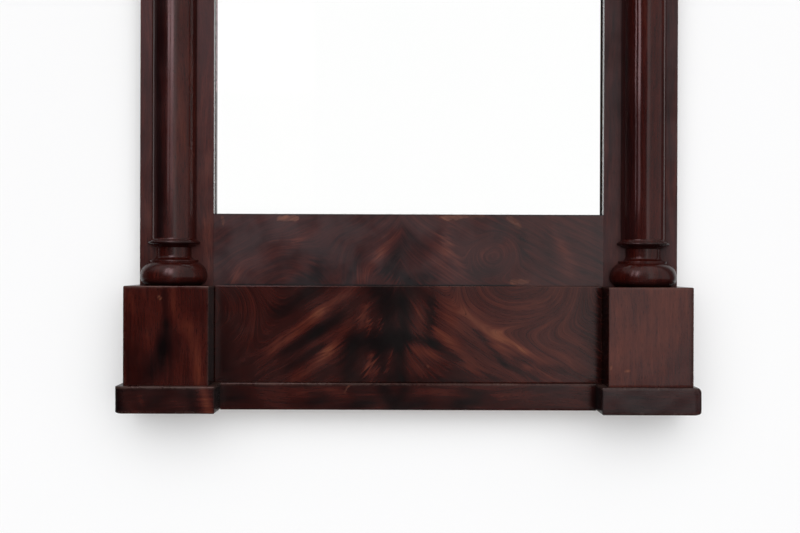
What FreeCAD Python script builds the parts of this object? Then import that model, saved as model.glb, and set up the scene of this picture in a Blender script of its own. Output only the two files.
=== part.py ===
# Mahogany wall mirror with half-round columns, as a parametric document in millimetres.
# +Z is up, the front faces -Y, the wall is the plane y = 0, the middle is x = 0,
# and z = 0 is the height of the two eyes that the mirror hangs from.
import FreeCAD
import Part
import Sketcher
import math
import os

# Driving dimensions, in millimetres
DIMENSIONS = {
    # Frame of two stiles and two rails
    "frame_width": 570.0,
    "stile_width": 78.0,
    "core_thickness": 22.0,
    "veneer_thickness": 1.0,
    "sight_height": 830.0,
    "bottom_rail_height": 76.0,
    "top_rail_height": 76.0,
    "frieze_height": 92.0,
    # Mortise and tenon joints with their pegs
    "tenon_end_distance": 28.0,
    "tenon_thickness": 7.0,
    "tenon_setback": 7.0,
    "tenon_shoulder": 40.0,
    "mortise_clearance": 0.5,
    "peg_radius": 4.0,
    "peg_length": 18.0,
    "peg_inset": 20.0,
    "peg_end_distance": 24.0,
    # Rebates, glass and backboards
    "lip_thickness": 8.0,
    "glass_rebate_width": 10.0,
    "glass_clearance": 1.5,
    "glass_thickness": 3.5,
    "silvering_thickness": 0.2,
    "glass_block_length": 36.0,
    "backboard_rebate_width": 22.0,
    "backboard_thickness": 6.0,
    "backboard_setback": 1.0,
    "backboard_gap": 0.6,
    "nail_radius": 0.8,
    "nail_head_radius": 2.2,
    "nail_length": 16.0,
    # Half-round columns
    "shaft_radius": 23.5,
    "torus_projection": 11.7,
    "torus_height": 24.5,
    "torus_swell_height": 9.5,
    "torus_shoulder_radius": 16.8,
    "torus_under_radius": 10.0,
    "torus_under_inset": 7.0,
    "ledge_projection": 2.5,
    "ledge_height": 2.4,
    "neck_inset": 5.2,
    "neck_height": 13.0,
    "collar_projection": 4.2,
    "collar_foot_height": 3.4,
    "collar_bead_height": 3.4,
    "collar_height": 10.0,
    "dowel_radius": 4.0,
    "dowel_depth_in_stile": 6.0,
    "dowel_depth_in_column": 15.0,
    # Plinth blocks, feet, panels and base strip
    "block_height": 102.0,
    "block_overhang": 7.5,
    "block_inner_overhang": 2.5,
    "block_front_margin": 4.8,
    "foot_height": 28.0,
    "foot_projection": 7.5,
    "foot_corner_round": 9.0,
    "foot_edge_round": 2.0,
    "panel_projection": 6.0,
    "strip_projection": 7.0,
    "block_screw_radius": 2.25,
    "block_screw_head_radius": 4.5,
    "block_screw_head_height": 3.0,
    "block_screw_length": 50.0,
    "block_screw_side_inset": 15.0,
    "block_screw_end_inset": 24.0,
    # Cornice
    "cornice_height": 30.0,
    "cavetto_projection": 22.0,
    "cavetto_step": 2.0,
    "cavetto_fascia": 6.0,
    "cornice_board_thickness": 16.0,
    "cornice_board_overhang": 6.0,
    # Hinged hanging eyes, let into the back of the top rail
    "hanger_spacing": 280.0,
    "eye_hole_radius": 6.0,
    "eye_outer_radius": 12.0,
    "eye_neck_width": 12.0,
    "hinge_drop": 20.0,
    "leaf_thickness": 2.0,
    "knuckle_radius": 3.5,
    "pin_radius": 1.75,
    "pin_running_clearance": 0.1,
    "knuckle_side_clearance": 0.3,
    "plate_width": 24.0,
    "plate_length": 38.0,
    "plate_edge_distance": 4.0,
    "plate_screw_inset": 14.0,
    "plate_screw_spacing": 15.0,
    "plate_screw_radius": 2.0,
    "plate_screw_head_radius": 4.0,
    "plate_screw_length": 15.0,
    "hanger_clearance": 0.5,
    "eye_swing_clearance": 2.0,
    "eye_recess_depth": 14.0,
    # Room round every peg, dowel, nail and screw, and the overrun of every cut
    "fastener_clearance": 0.05,
    "overrun": 1.0,
}

# Places along a piece, as shares of its length
SHAFT_DOWEL_SHARES = (0.12, 0.5, 0.88)
BOARD_NAIL_SHARES = (0.14, 0.5, 0.86)
GLASS_BLOCK_SIDE_SHARES = (0.12, 0.37, 0.63, 0.88)
GLASS_BLOCK_END_SHARES = (0.2, 0.8)

QUARTER_TURN = 90
HALF_TURN = 180
SIDES = {"left": -1, "right": 1}

doc = FreeCAD.newDocument("mahogany_mirror")
sheet = doc.addObject("Spreadsheet::Sheet", "dims")
nodes = []


class Size:
    """A length with its value in millimetres and the sheet expression that gives it."""

    def __init__(self, value, text):
        self.value = value
        self.text = text

    def __add__(self, other):
        return Size(self.value + other.value, f"({self.text} + {other.text})")

    def __sub__(self, other):
        return Size(self.value - other.value, f"({self.text} - {other.text})")

    def __mul__(self, factor):
        return Size(self.value * factor, f"({self.text} * {factor})")

    def __truediv__(self, divisor):
        return Size(self.value / divisor, f"({self.text} / {divisor})")

    def __neg__(self):
        return Size(-self.value, f"(-1 * {self.text})")


class Dimensions:
    """The driving dimensions by name, each a Size bound to its cell of the sheet."""

    def __init__(self):
        for row, (alias, value) in enumerate(DIMENSIONS.items(), start=1):
            sheet.set(f"A{row}", alias)
            sheet.set(f"B{row}", str(value))
            sheet.setAlias(f"B{row}", alias)
            setattr(self, alias, Size(value, f"dims.{alias}"))


dims = Dimensions()
doc.recompute()
ZERO = Size(0.0, "0")


def bind(target, property_name, size):
    """Bind one property of a document object to a size."""
    target.setExpression(property_name, size.text)


def place(target, x, y, z, rotation=None):
    """Put an object's own origin at x, y, z, turned by a fixed rotation."""
    if rotation:
        target.Placement = FreeCAD.Placement(FreeCAD.Vector(), rotation)
    for letter, size in zip("xyz", (x, y, z)):
        bind(target, f"Placement.Base.{letter}", size)


def keep(piece):
    """List an object as one piece of the mirror, filed under its label."""
    nodes.append(piece)
    return piece


def span(side, near, far):
    """The limits in x of something between two distances from the middle, on one side."""
    if side < 0:
        return (-far, -near)
    return (near, far)


def box(name, x_span, y_span, z_span):
    """A square-edged board between three pairs of limits."""
    board = doc.addObject("Part::Box", name)
    limits = (x_span, y_span, z_span)
    for property_name, (low, high) in zip(("Length", "Width", "Height"), limits):
        bind(board, property_name, high - low)
    place(board, x_span[0], y_span[0], z_span[0])
    return board


def rod_forward(name, radius, length, x, y, z):
    """A round rod that starts at x, y, z and runs towards the front."""
    rod = doc.addObject("Part::Cylinder", name)
    bind(rod, "Radius", radius)
    bind(rod, "Height", length)
    place(rod, x, y, z, FreeCAD.Rotation(FreeCAD.Vector(1, 0, 0), QUARTER_TURN))
    return rod


def rod_across(name, radius, x_span, y, z):
    """A round rod along x between two limits."""
    rod = doc.addObject("Part::Cylinder", name)
    bind(rod, "Radius", radius)
    bind(rod, "Height", x_span[1] - x_span[0])
    place(rod, x_span[0], y, z, FreeCAD.Rotation(FreeCAD.Vector(0, 1, 0), QUARTER_TURN))
    return rod


def cone_forward(name, back_radius, front_radius, length, x, y, z):
    """A cone frustum that starts at x, y, z and runs towards the front."""
    cone = doc.addObject("Part::Cone", name)
    bind(cone, "Radius1", back_radius)
    bind(cone, "Radius2", front_radius)
    bind(cone, "Height", length)
    place(cone, x, y, z, FreeCAD.Rotation(FreeCAD.Vector(1, 0, 0), QUARTER_TURN))
    return cone


def fuse(name, pieces):
    """Several shapes joined into one."""
    result = doc.addObject("Part::MultiFuse", name)
    result.Shapes = pieces
    result.Refine = True
    return result


def cut(name, base, rooms):
    """A shape with each room taken out of it."""
    result = doc.addObject("Part::Cut", name)
    result.Base = base
    result.Tool = rooms[0] if len(rooms) == 1 else fuse(f"{name}_rooms", rooms)
    return result


def group(name, pieces):
    """Separate like solids kept together as one node."""
    result = doc.addObject("Part::Compound", name)
    result.Links = pieces
    return result


def countersunk(name, radius, head_radius, head_height, length, x, y, z, room=ZERO):
    """A countersunk screw with its head at x, y, z, or with room added all round its hole."""
    head = cone_forward(f"{name}_head", head_radius + room, radius + room, head_height, x, y, z)
    shank = rod_forward(f"{name}_shank", radius + room, length + room, x, y, z)
    return fuse(name, [head, shank])


def origin_plane(body, role):
    """One of a body's own origin planes, by its role."""
    return next(item for item in body.Origin.OriginFeatures if item.Role == role)


def constrain_point(sketch, index, position, point):
    """Hold a point of a sketch at two sizes measured from the sketch's origin."""
    for kind, size in zip(("DistanceX", "DistanceY"), point):
        number = sketch.addConstraint(
            Sketcher.Constraint(kind, -1, 1, index, position, size.value))
        sketch.setExpression(f"Constraints[{number}]", size.text)


def arc_seed(center, start, end, turn):
    """An arc about a center from start to end; turn is 1 counterclockwise and -1 clockwise."""
    middle = FreeCAD.Vector(center[0].value, center[1].value, 0)
    first, last = (start, end) if turn > 0 else (end, start)
    angles = [math.atan2(point[1].value - middle.y, point[0].value - middle.x)
              for point in (first, last)]
    radius = math.hypot(start[0].value - middle.x, start[1].value - middle.y)
    if angles[1] < angles[0]:
        angles[1] += 2 * math.pi
    return Part.ArcOfCircle(Part.Circle(middle, FreeCAD.Vector(0, 0, 1), radius), *angles)


def outline(body, plane_role, steps):
    """A closed sketch through steps of (point, center, turn); center is None on straight runs.

    Every corner is held by its two sizes, and every arc by its center across the chord.
    """
    sketch = body.newObject("Sketcher::SketchObject", f"{body.Name}_outline")
    sketch.AttachmentSupport = [(origin_plane(body, plane_role), "")]
    sketch.MapMode = "FlatFace"
    start = steps[-1][0]
    for point, center, turn in steps:
        if center is None:
            ends = [FreeCAD.Vector(end[0].value, end[1].value, 0) for end in (start, point)]
            index = sketch.addGeometry(Part.LineSegment(*ends), False)
            positions = (1, 2)
        else:
            index = sketch.addGeometry(arc_seed(center, start, point, turn), False)
            positions = (1, 2) if turn > 0 else (2, 1)
            tall = abs(point[1].value - start[1].value) >= abs(point[0].value - start[0].value)
            kind = "DistanceX" if tall else "DistanceY"
            size = center[0] if tall else center[1]
            number = sketch.addConstraint(Sketcher.Constraint(kind, -1, 1, index, 3, size.value))
            sketch.setExpression(f"Constraints[{number}]", size.text)
        constrain_point(sketch, index, positions[0], start)
        constrain_point(sketch, index, positions[1], point)
        start = point
    return sketch


def corner(u, v):
    """A step of an outline that ends a straight run at u, v."""
    return ((u, v), None, 0)


def bend(u, v, center_u, center_v, turn):
    """A step of an outline that ends an arc at u, v."""
    return ((u, v), (center_u, center_v), turn)


def pad(name, plane_role, steps, length, midplane=False):
    """A body made of one outline drawn out to a length."""
    body = doc.addObject("PartDesign::Body", name)
    feature = body.newObject("PartDesign::Pad", f"{name}_pad")
    feature.Profile = outline(body, plane_role, steps)
    bind(feature, "Length", length)
    feature.Midplane = midplane
    body.Tip = feature
    return body


def round_edges(body, name, radius, chosen):
    """Round the edges of a body's last feature whose middle points are chosen."""
    doc.recompute()
    base = body.Tip
    names = [f"Edge{number}" for number, edge in enumerate(base.Shape.Edges, start=1)
             if chosen(edge.CenterOfMass)]
    feature = body.newObject("PartDesign::Fillet", name)
    feature.Base = (base, names)
    bind(feature, "Radius", radius)
    body.Tip = feature


# Heights, set out from the two eyes that the mirror hangs from
pin_z = -dims.hinge_drop
plate_bottom = pin_z - dims.plate_length
sight_top = plate_bottom - dims.plate_edge_distance - dims.backboard_rebate_width
sight_bottom = sight_top - dims.sight_height
block_top = sight_bottom - dims.bottom_rail_height
foot_top = block_top - dims.block_height
underside = foot_top - dims.foot_height
frieze_bottom = sight_top + dims.top_rail_height
frame_top = frieze_bottom + dims.frieze_height
cornice_top = frame_top + dims.cornice_height

# Distances from the middle
torus_radius = dims.shaft_radius + dims.torus_projection
frame_half = dims.frame_width / 2
core_half = frame_half - dims.veneer_thickness
sight_half = frame_half - dims.stile_width
block_outer = frame_half + dims.block_overhang
block_inner = sight_half - dims.block_inner_overhang
column_offset = (block_outer + block_inner) / 2
foot_inner = block_inner - dims.foot_projection
foot_outer = block_outer + dims.foot_projection

# Depths, from the wall towards the front
core_face = -dims.core_thickness
veneer_face = core_face - dims.veneer_thickness
block_face = veneer_face - torus_radius - dims.block_front_margin
foot_face = block_face - dims.foot_projection
panel_face = veneer_face - dims.panel_projection
strip_face = panel_face - dims.strip_projection
lip_back = core_face + dims.lip_thickness
glass_back = lip_back + dims.glass_thickness
silvering_back = glass_back + dims.silvering_thickness
backboard_back = -dims.backboard_setback
backboard_front = backboard_back - dims.backboard_thickness


def column_x(side):
    """The middle of the column, block and foot on one side."""
    return column_offset * side


def rebate(name, width, depth):
    """The room of a rebate round the back of the sight opening, as one cutting block."""
    reach = sight_half + width
    return box(name, (-reach, reach), (-depth, dims.overrun),
               (sight_bottom - width, sight_top + width))


glass_rebate = rebate("glass_rebate", dims.glass_rebate_width, -lip_back)
backboard_rebate = rebate("backboard_rebate", dims.backboard_rebate_width, -backboard_front)
rebates = [glass_rebate, backboard_rebate]

# Tenons, their mortises and their pegs
tenon_spans = {
    "bottom": (underside + dims.tenon_shoulder, sight_bottom - dims.tenon_shoulder),
    "top": (sight_top + dims.tenon_shoulder, frame_top - dims.tenon_shoulder),
}
tenon_y = (-dims.tenon_setback - dims.tenon_thickness, -dims.tenon_setback)
tenons = {"bottom": [], "top": []}
mortises = {"left": [], "right": []}
pegs = []
peg_holes = {}
for hand, side in SIDES.items():
    for rail, z_span in tenon_spans.items():
        name = f"{rail}_{hand}"
        tenon_end = frame_half - dims.tenon_end_distance
        tenons[rail].append(
            box(f"tenon_{name}", span(side, sight_half, tenon_end), tenon_y, z_span))
        mortise_x = span(side, sight_half - dims.overrun, tenon_end + dims.mortise_clearance)
        mortises[hand].append(box(f"mortise_{name}", mortise_x, tenon_y, z_span))
        peg_x = (sight_half + dims.peg_inset) * side
        peg_holes[name] = []
        for end, peg_z in (("low", z_span[0] + dims.peg_end_distance),
                           ("high", z_span[1] - dims.peg_end_distance)):
            pegs.append(rod_forward(
                f"peg_{name}_{end}", dims.peg_radius, dims.peg_length, peg_x, ZERO, peg_z))
            peg_holes[name].append(rod_forward(
                f"peg_hole_{name}_{end}", dims.peg_radius + dims.fastener_clearance,
                dims.peg_length + dims.fastener_clearance, peg_x, ZERO, peg_z))
keep(group("tenon_pegs", pegs))

# Backboards, and the nails that hold them in the rebate
board_half = sight_half + dims.backboard_rebate_width - dims.backboard_gap
board_height = (dims.sight_height + dims.backboard_rebate_width * 2 - dims.backboard_gap * 4) / 3
board_names = ("bottom", "middle", "top")
nail_band = (dims.glass_rebate_width + dims.backboard_rebate_width) / 2
nails = []
nail_holes = {name: [] for name in ("left", "right") + board_names}


def drive_nail(name, x, z, holders):
    """A flat-headed nail through a backboard, with its hole noted for what it holds."""
    head = rod_forward(f"{name}_head", dims.nail_head_radius, dims.backboard_setback, x, ZERO, z)
    shank = rod_forward(f"{name}_shank", dims.nail_radius, dims.nail_length, x, ZERO, z)
    nails.append(fuse(name, [head, shank]))
    hole = rod_forward(f"{name}_hole", dims.nail_radius + dims.fastener_clearance,
                       dims.nail_length + dims.fastener_clearance, x, ZERO, z)
    for holder in holders:
        nail_holes[holder].append(hole)


board_spans = {}
for place_number, board_name in enumerate(board_names):
    board_bottom = (sight_bottom - dims.backboard_rebate_width + dims.backboard_gap
                    + (board_height + dims.backboard_gap) * place_number)
    board_spans[board_name] = (board_bottom, board_bottom + board_height)
    for hand, side in SIDES.items():
        for number, share in enumerate(BOARD_NAIL_SHARES):
            drive_nail(f"nail_{board_name}_{hand}_{number}", (sight_half + nail_band) * side,
                       board_bottom + board_height * share, (hand, board_name))
rail_nail_holes = {"bottom": [], "top": []}
for rail, nail_z in (("bottom", sight_bottom - nail_band), ("top", sight_top + nail_band)):
    for number, share in enumerate(BOARD_NAIL_SHARES):
        drive_nail(f"nail_{rail}_edge_{number}", sight_half * (2 * share - 1), nail_z, (rail,))
        rail_nail_holes[rail].append(nail_holes[rail][-1])
for board_name in board_names:
    board = box(f"{board_name}_board", (-board_half, board_half),
                (backboard_front, backboard_back), board_spans[board_name])
    keep(cut(f"backboard_{board_name}", board, nail_holes[board_name]))
keep(group("backboard_nails", nails))

# Glass, its silvering and the blocks glued round its back
glass_reach = dims.glass_rebate_width - dims.glass_clearance
glass_x = (-sight_half - glass_reach, sight_half + glass_reach)
glass_z = (sight_bottom - glass_reach, sight_top + glass_reach)
keep(box("mirror_glass", glass_x, (lip_back, glass_back), glass_z))
keep(box("mirror_silvering", glass_x, (glass_back, silvering_back), glass_z))
glass_blocks = []
block_y = (silvering_back, backboard_front)
for hand, side in SIDES.items():
    for number, share in enumerate(GLASS_BLOCK_SIDE_SHARES):
        middle = sight_bottom + dims.sight_height * share
        glass_blocks.append(box(
            f"glass_block_{hand}_{number}",
            span(side, sight_half, sight_half + dims.glass_rebate_width), block_y,
            (middle - dims.glass_block_length / 2, middle + dims.glass_block_length / 2)))
for number, share in enumerate(GLASS_BLOCK_END_SHARES):
    middle = sight_half * (2 * share - 1)
    block_x = (middle - dims.glass_block_length / 2, middle + dims.glass_block_length / 2)
    glass_blocks.append(box(f"glass_block_bottom_{number}", block_x, block_y,
                            (sight_bottom - dims.glass_rebate_width, sight_bottom)))
    glass_blocks.append(box(f"glass_block_top_{number}", block_x, block_y,
                            (sight_top, sight_top + dims.glass_rebate_width)))
keep(group("glass_blocks", glass_blocks))

# Turned pieces of the columns, each half a revolution about the column's own axis
ledge_radius = dims.shaft_radius + dims.ledge_projection
neck_radius = dims.shaft_radius - dims.neck_inset
base_height = dims.torus_height + dims.ledge_height + dims.neck_height
bead_radius = dims.collar_bead_height / 2
collar_face = dims.shaft_radius + dims.collar_projection - bead_radius
collar_cove = collar_face - dims.shaft_radius
bead_top = dims.collar_foot_height + dims.collar_bead_height
shaft_bottom = block_top + base_height + dims.collar_height
shaft_top = frieze_bottom - base_height - dims.collar_height


def base_profile():
    """Torus that swells low down, fillet and hollow neck, from the axis out and up."""
    swell = dims.torus_swell_height
    ledge_top = dims.torus_height + dims.ledge_height
    hollow_top = ledge_top + dims.neck_inset
    return [
        corner(ZERO, ZERO),
        corner(torus_radius - dims.torus_under_inset, ZERO),
        bend(torus_radius, swell, torus_radius - dims.torus_under_radius, swell, 1),
        bend(ledge_radius, dims.torus_height, torus_radius - dims.torus_shoulder_radius, swell, 1),
        corner(ledge_radius, ledge_top),
        corner(dims.shaft_radius, ledge_top),
        bend(neck_radius, hollow_top, dims.shaft_radius, hollow_top, -1),
        corner(neck_radius, base_height),
        corner(ZERO, base_height),
    ]


def collar_profile():
    """Narrow foot, half-round bead, face and a small cove that runs into the shaft."""
    return [
        corner(ZERO, ZERO),
        corner(dims.shaft_radius, ZERO),
        corner(dims.shaft_radius, dims.collar_foot_height),
        corner(collar_face, dims.collar_foot_height),
        bend(collar_face, bead_top, collar_face, dims.collar_foot_height + bead_radius, 1),
        corner(collar_face, dims.collar_height - collar_cove),
        bend(dims.shaft_radius, dims.collar_height, collar_face, dims.collar_height, -1),
        corner(ZERO, dims.collar_height),
    ]


def shaft_profile():
    """A plain half round."""
    shaft_length = shaft_top - shaft_bottom
    return [
        corner(ZERO, ZERO),
        corner(dims.shaft_radius, ZERO),
        corner(dims.shaft_radius, shaft_length),
        corner(ZERO, shaft_length),
    ]


def upside_down(profile, height):
    """The same profile turned top to bottom, walked the other way round."""
    flipped = []
    for place_number in range(len(profile) - 1, -1, -1):
        _, center, turn = profile[(place_number + 1) % len(profile)]
        u, v = profile[place_number][0]
        if center is None:
            flipped.append(corner(u, height - v))
        else:
            flipped.append(bend(u, height - v, center[0], height - center[1], turn))
    return flipped


def turned(name, profile, side, z):
    """Half a turned piece, flat side on the stile's veneer."""
    body = doc.addObject("PartDesign::Body", name)
    feature = body.newObject("PartDesign::Revolution", f"{name}_turning")
    feature.Profile = outline(body, "XZ_Plane", profile)
    feature.ReferenceAxis = (feature.Profile[0], ["V_Axis"])
    feature.Angle = HALF_TURN
    feature.Reversed = True
    body.Tip = feature
    place(body, column_x(side), veneer_face, z)
    return body


dowels = []
dowel_holes = {"left": [], "right": []}
dowel_length = dims.dowel_depth_in_stile + dims.veneer_thickness + dims.dowel_depth_in_column
torus_middle = dims.torus_height / 2


def drill_dowel(name, hand, z):
    """A dowel between stile and column, and its hole."""
    x = column_x(SIDES[hand])
    start = core_face + dims.dowel_depth_in_stile
    dowels.append(rod_forward(f"dowel_{name}", dims.dowel_radius, dowel_length, x, start, z))
    hole = rod_forward(
        f"dowel_hole_{name}", dims.dowel_radius + dims.fastener_clearance,
        dowel_length + dims.fastener_clearance * 2, x, start + dims.fastener_clearance, z)
    dowel_holes[hand].append(hole)
    return hole


for hand, side in SIDES.items():
    base_hole = drill_dowel(f"base_{hand}", hand, block_top + torus_middle)
    base_turning = turned(f"base_turning_{hand}", base_profile(), side, block_top)
    keep(cut(f"column_base_{hand}", base_turning, [base_hole]))
    keep(turned(f"column_collar_{hand}", collar_profile(), side, block_top + base_height))
    shaft_turning = turned(f"shaft_turning_{hand}", shaft_profile(), side, shaft_bottom)
    shaft_holes = [
        drill_dowel(f"shaft_{hand}_{number}", hand,
                    shaft_bottom + (shaft_top - shaft_bottom) * share)
        for number, share in enumerate(SHAFT_DOWEL_SHARES)]
    keep(cut(f"column_shaft_{hand}", shaft_turning, shaft_holes))
    keep(turned(f"capital_collar_{hand}", upside_down(collar_profile(), dims.collar_height),
                side, shaft_top))
    capital_hole = drill_dowel(f"capital_{hand}", hand, frieze_bottom - torus_middle)
    capital_turning = turned(f"capital_turning_{hand}", upside_down(base_profile(), base_height),
                             side, frieze_bottom - base_height)
    keep(cut(f"column_capital_{hand}", capital_turning, [capital_hole]))
keep(group("column_dowels", dowels))

# Plinth blocks and top blocks: a core with an ear beside the stile, in a skin of veneer
screw_x = frame_half - dims.block_screw_side_inset
screws = []
screw_holes = {"left": [], "right": []}


def ear_block(name, side, face, inner, outer, z_span):
    """A block in front of the stile with an ear that returns beside it to the wall."""
    front = box(f"{name}_front", span(side, inner, outer), (face, core_face), z_span)
    ear = box(f"{name}_ear", span(side, core_half, outer), (core_face, ZERO), z_span)
    return fuse(name, [front, ear])


def column_block(name, hand, z_span, core_z_span):
    """A veneered block under or over a column, with the screws that hold it to the stile."""
    side = SIDES[hand]
    skin = dims.veneer_thickness
    shell = ear_block(f"{name}_{hand}_shell", side, block_face, block_inner, block_outer, z_span)
    core = ear_block(f"{name}_{hand}_core", side, block_face + skin, block_inner + skin,
                     block_outer - skin, core_z_span)
    holes = []
    for end, z in (("low", z_span[0] + dims.block_screw_end_inset),
                   ("high", z_span[1] - dims.block_screw_end_inset)):
        for label, gap, shapes in (("screw", ZERO, screws),
                                   ("screw_hole", dims.fastener_clearance, holes)):
            shapes.append(countersunk(
                f"{name}_{label}_{hand}_{end}", dims.block_screw_radius,
                dims.block_screw_head_radius, dims.block_screw_head_height,
                dims.block_screw_length, screw_x * side, ZERO, z, gap))
    screw_holes[hand].extend(holes)
    keep(cut(f"{name}_{hand}", core, holes))
    keep(cut(f"{name}_veneer_{hand}", shell, [core]))


def plinth_foot(hand):
    """A solid foot under a plinth block, with one rounded corner and softened edges."""
    side = SIDES[hand]
    inner, outer, wall_edge = foot_inner * side, foot_outer * side, core_half * side
    round_x = (foot_outer - dims.foot_corner_round) * side
    round_y = foot_face + dims.foot_corner_round
    body = pad(f"plinth_foot_{hand}", "XY_Plane", [
        corner(inner, foot_face),
        corner(round_x, foot_face),
        bend(outer, round_y, round_x, round_y, side),
        corner(outer, ZERO),
        corner(wall_edge, ZERO),
        corner(wall_edge, core_face),
        corner(inner, core_face),
    ], dims.foot_height)
    place(body, ZERO, ZERO, underside)

    def shows(point, level):
        """Whether an edge's middle lies at a level on the front or on either side."""
        gaps = (point.y - foot_face.value, point.x - inner.value, point.x - outer.value)
        return abs(point.z - level) < tolerance and min(abs(gap) for gap in gaps) < tolerance

    tolerance = dims.fastener_clearance.value
    round_edges(body, f"foot_{hand}_top_round", dims.foot_edge_round,
                lambda point: shows(point, dims.foot_height.value))
    round_edges(body, f"foot_{hand}_bottom_round", dims.foot_edge_round,
                lambda point: shows(point, 0))
    return body


for hand in SIDES:
    column_block("plinth_block", hand, (foot_top, block_top),
                 (foot_top, block_top - dims.veneer_thickness))
    column_block("top_block", hand, (frieze_bottom, frame_top),
                 (frieze_bottom + dims.veneer_thickness, frame_top))
    keep(plinth_foot(hand))
keep(group("block_screws", screws))

# Panels and strip between the blocks, each a core faced with veneer
between_blocks = (-block_inner, block_inner)
for name, z_span in (("base_panel", (foot_top, block_top)), ("frieze", (frieze_bottom, frame_top))):
    core_name = name if name == "base_panel" else f"{name}_panel"
    veneer_back = panel_face + dims.veneer_thickness
    keep(box(core_name, between_blocks, (veneer_back, core_face), z_span))
    keep(box(f"{name}_veneer", between_blocks, (panel_face, veneer_back), z_span))
between_feet = (-foot_inner, foot_inner)
keep(box("base_strip", between_feet, (strip_face + dims.veneer_thickness, core_face),
         (underside, foot_top - dims.veneer_thickness)))
strip_shell = box("strip_shell", between_feet, (strip_face, core_face), (underside, foot_top))
keep(cut("base_strip_veneer", strip_shell, [nodes[-1]]))

# Cornice: a core board, a mitred cavetto round its front and sides, and a board on top
cornice_z = (frame_top, cornice_top)
cove_radius = dims.cavetto_projection - dims.cavetto_step
cove_foot = dims.cornice_height - dims.cavetto_fascia - cove_radius
moulding_face = block_face - dims.cavetto_projection
moulding_outer = block_outer + dims.cavetto_projection
keep(box("cornice_core", (-block_outer, block_outer), (block_face, ZERO), cornice_z))


def cavetto_profile(start, outward):
    """A small step, a quarter-round hollow and a fascia, from a start face outwards."""
    def at(projection):
        return start + projection * outward

    turn = 1 if outward < 0 else -1
    arc_end = (at(dims.cavetto_projection), cove_foot + cove_radius)
    return [
        corner(start, ZERO),
        corner(at(dims.cavetto_step), ZERO),
        corner(at(dims.cavetto_step), cove_foot),
        bend(*arc_end, at(dims.cavetto_projection), cove_foot, turn),
        corner(at(dims.cavetto_projection), dims.cornice_height),
        corner(start, dims.cornice_height),
    ]


def mitre_wedge(name, inner_span, outer_span, rotation, depth_start):
    """The room between two mitred ends: one span at the back face and a longer one at the front."""
    wedge = doc.addObject("Part::Wedge", name)
    sizes = {
        "Xmin": inner_span[0], "Xmax": inner_span[1], "X2min": outer_span[0], "X2max": outer_span[1],
        "Zmin": ZERO, "Zmax": dims.cornice_height, "Z2min": ZERO, "Z2max": dims.cornice_height,
        "Ymin": depth_start, "Ymax": depth_start + dims.cavetto_projection,
    }
    for property_name, size in sizes.items():
        bind(wedge, property_name, size)
    place(wedge, ZERO, ZERO, frame_top, FreeCAD.Rotation(FreeCAD.Vector(0, 0, 1), rotation))
    return wedge


def mitred(name, run, wedge):
    """A straight run of moulding cut to the room between its mitres."""
    result = doc.addObject("Part::Common", name)
    result.Base = run
    result.Tool = wedge
    return result


front_run = pad("cavetto_run_front", "YZ_Plane", cavetto_profile(block_face, -1),
                moulding_outer * 2, midplane=True)
place(front_run, ZERO, ZERO, frame_top)
front_wedge = mitre_wedge("mitre_front", (-block_outer, block_outer),
                          (-moulding_outer, moulding_outer), HALF_TURN, -block_face)
keep(mitred("cornice_moulding_front", front_run, front_wedge))
for hand, side in SIDES.items():
    side_run = pad(f"cavetto_run_{hand}", "XZ_Plane", cavetto_profile(block_outer * side, side),
                   -moulding_face)
    place(side_run, ZERO, ZERO, frame_top)
    # Turned a quarter, the wedge's length lies along y and its depth points outwards
    side_wedge = mitre_wedge(
        f"mitre_{hand}", *((ZERO, -face) if side > 0 else (face, ZERO)
                           for face in (block_face, moulding_face)),
        rotation=-QUARTER_TURN * side, depth_start=block_outer)
    keep(mitred(f"cornice_moulding_{hand}", side_run, side_wedge))
board_reach = moulding_outer + dims.cornice_board_overhang
keep(box("cornice_board", (-board_reach, board_reach),
         (moulding_face - dims.cornice_board_overhang, ZERO),
         (cornice_top, cornice_top + dims.cornice_board_thickness)))

# Hinged hanging eyes, their plates, pins and screws
pin_y = -dims.knuckle_radius
leaf_y = (-dims.knuckle_radius * 2, dims.leaf_thickness - dims.knuckle_radius * 2)
leaf_back = leaf_y[1]
eye_half = dims.eye_neck_width / 2
notch_half = eye_half + dims.knuckle_side_clearance
plate_half = dims.plate_width / 2
hanger_pins = []
hanger_screws = []
hanger_cuts = []


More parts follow.
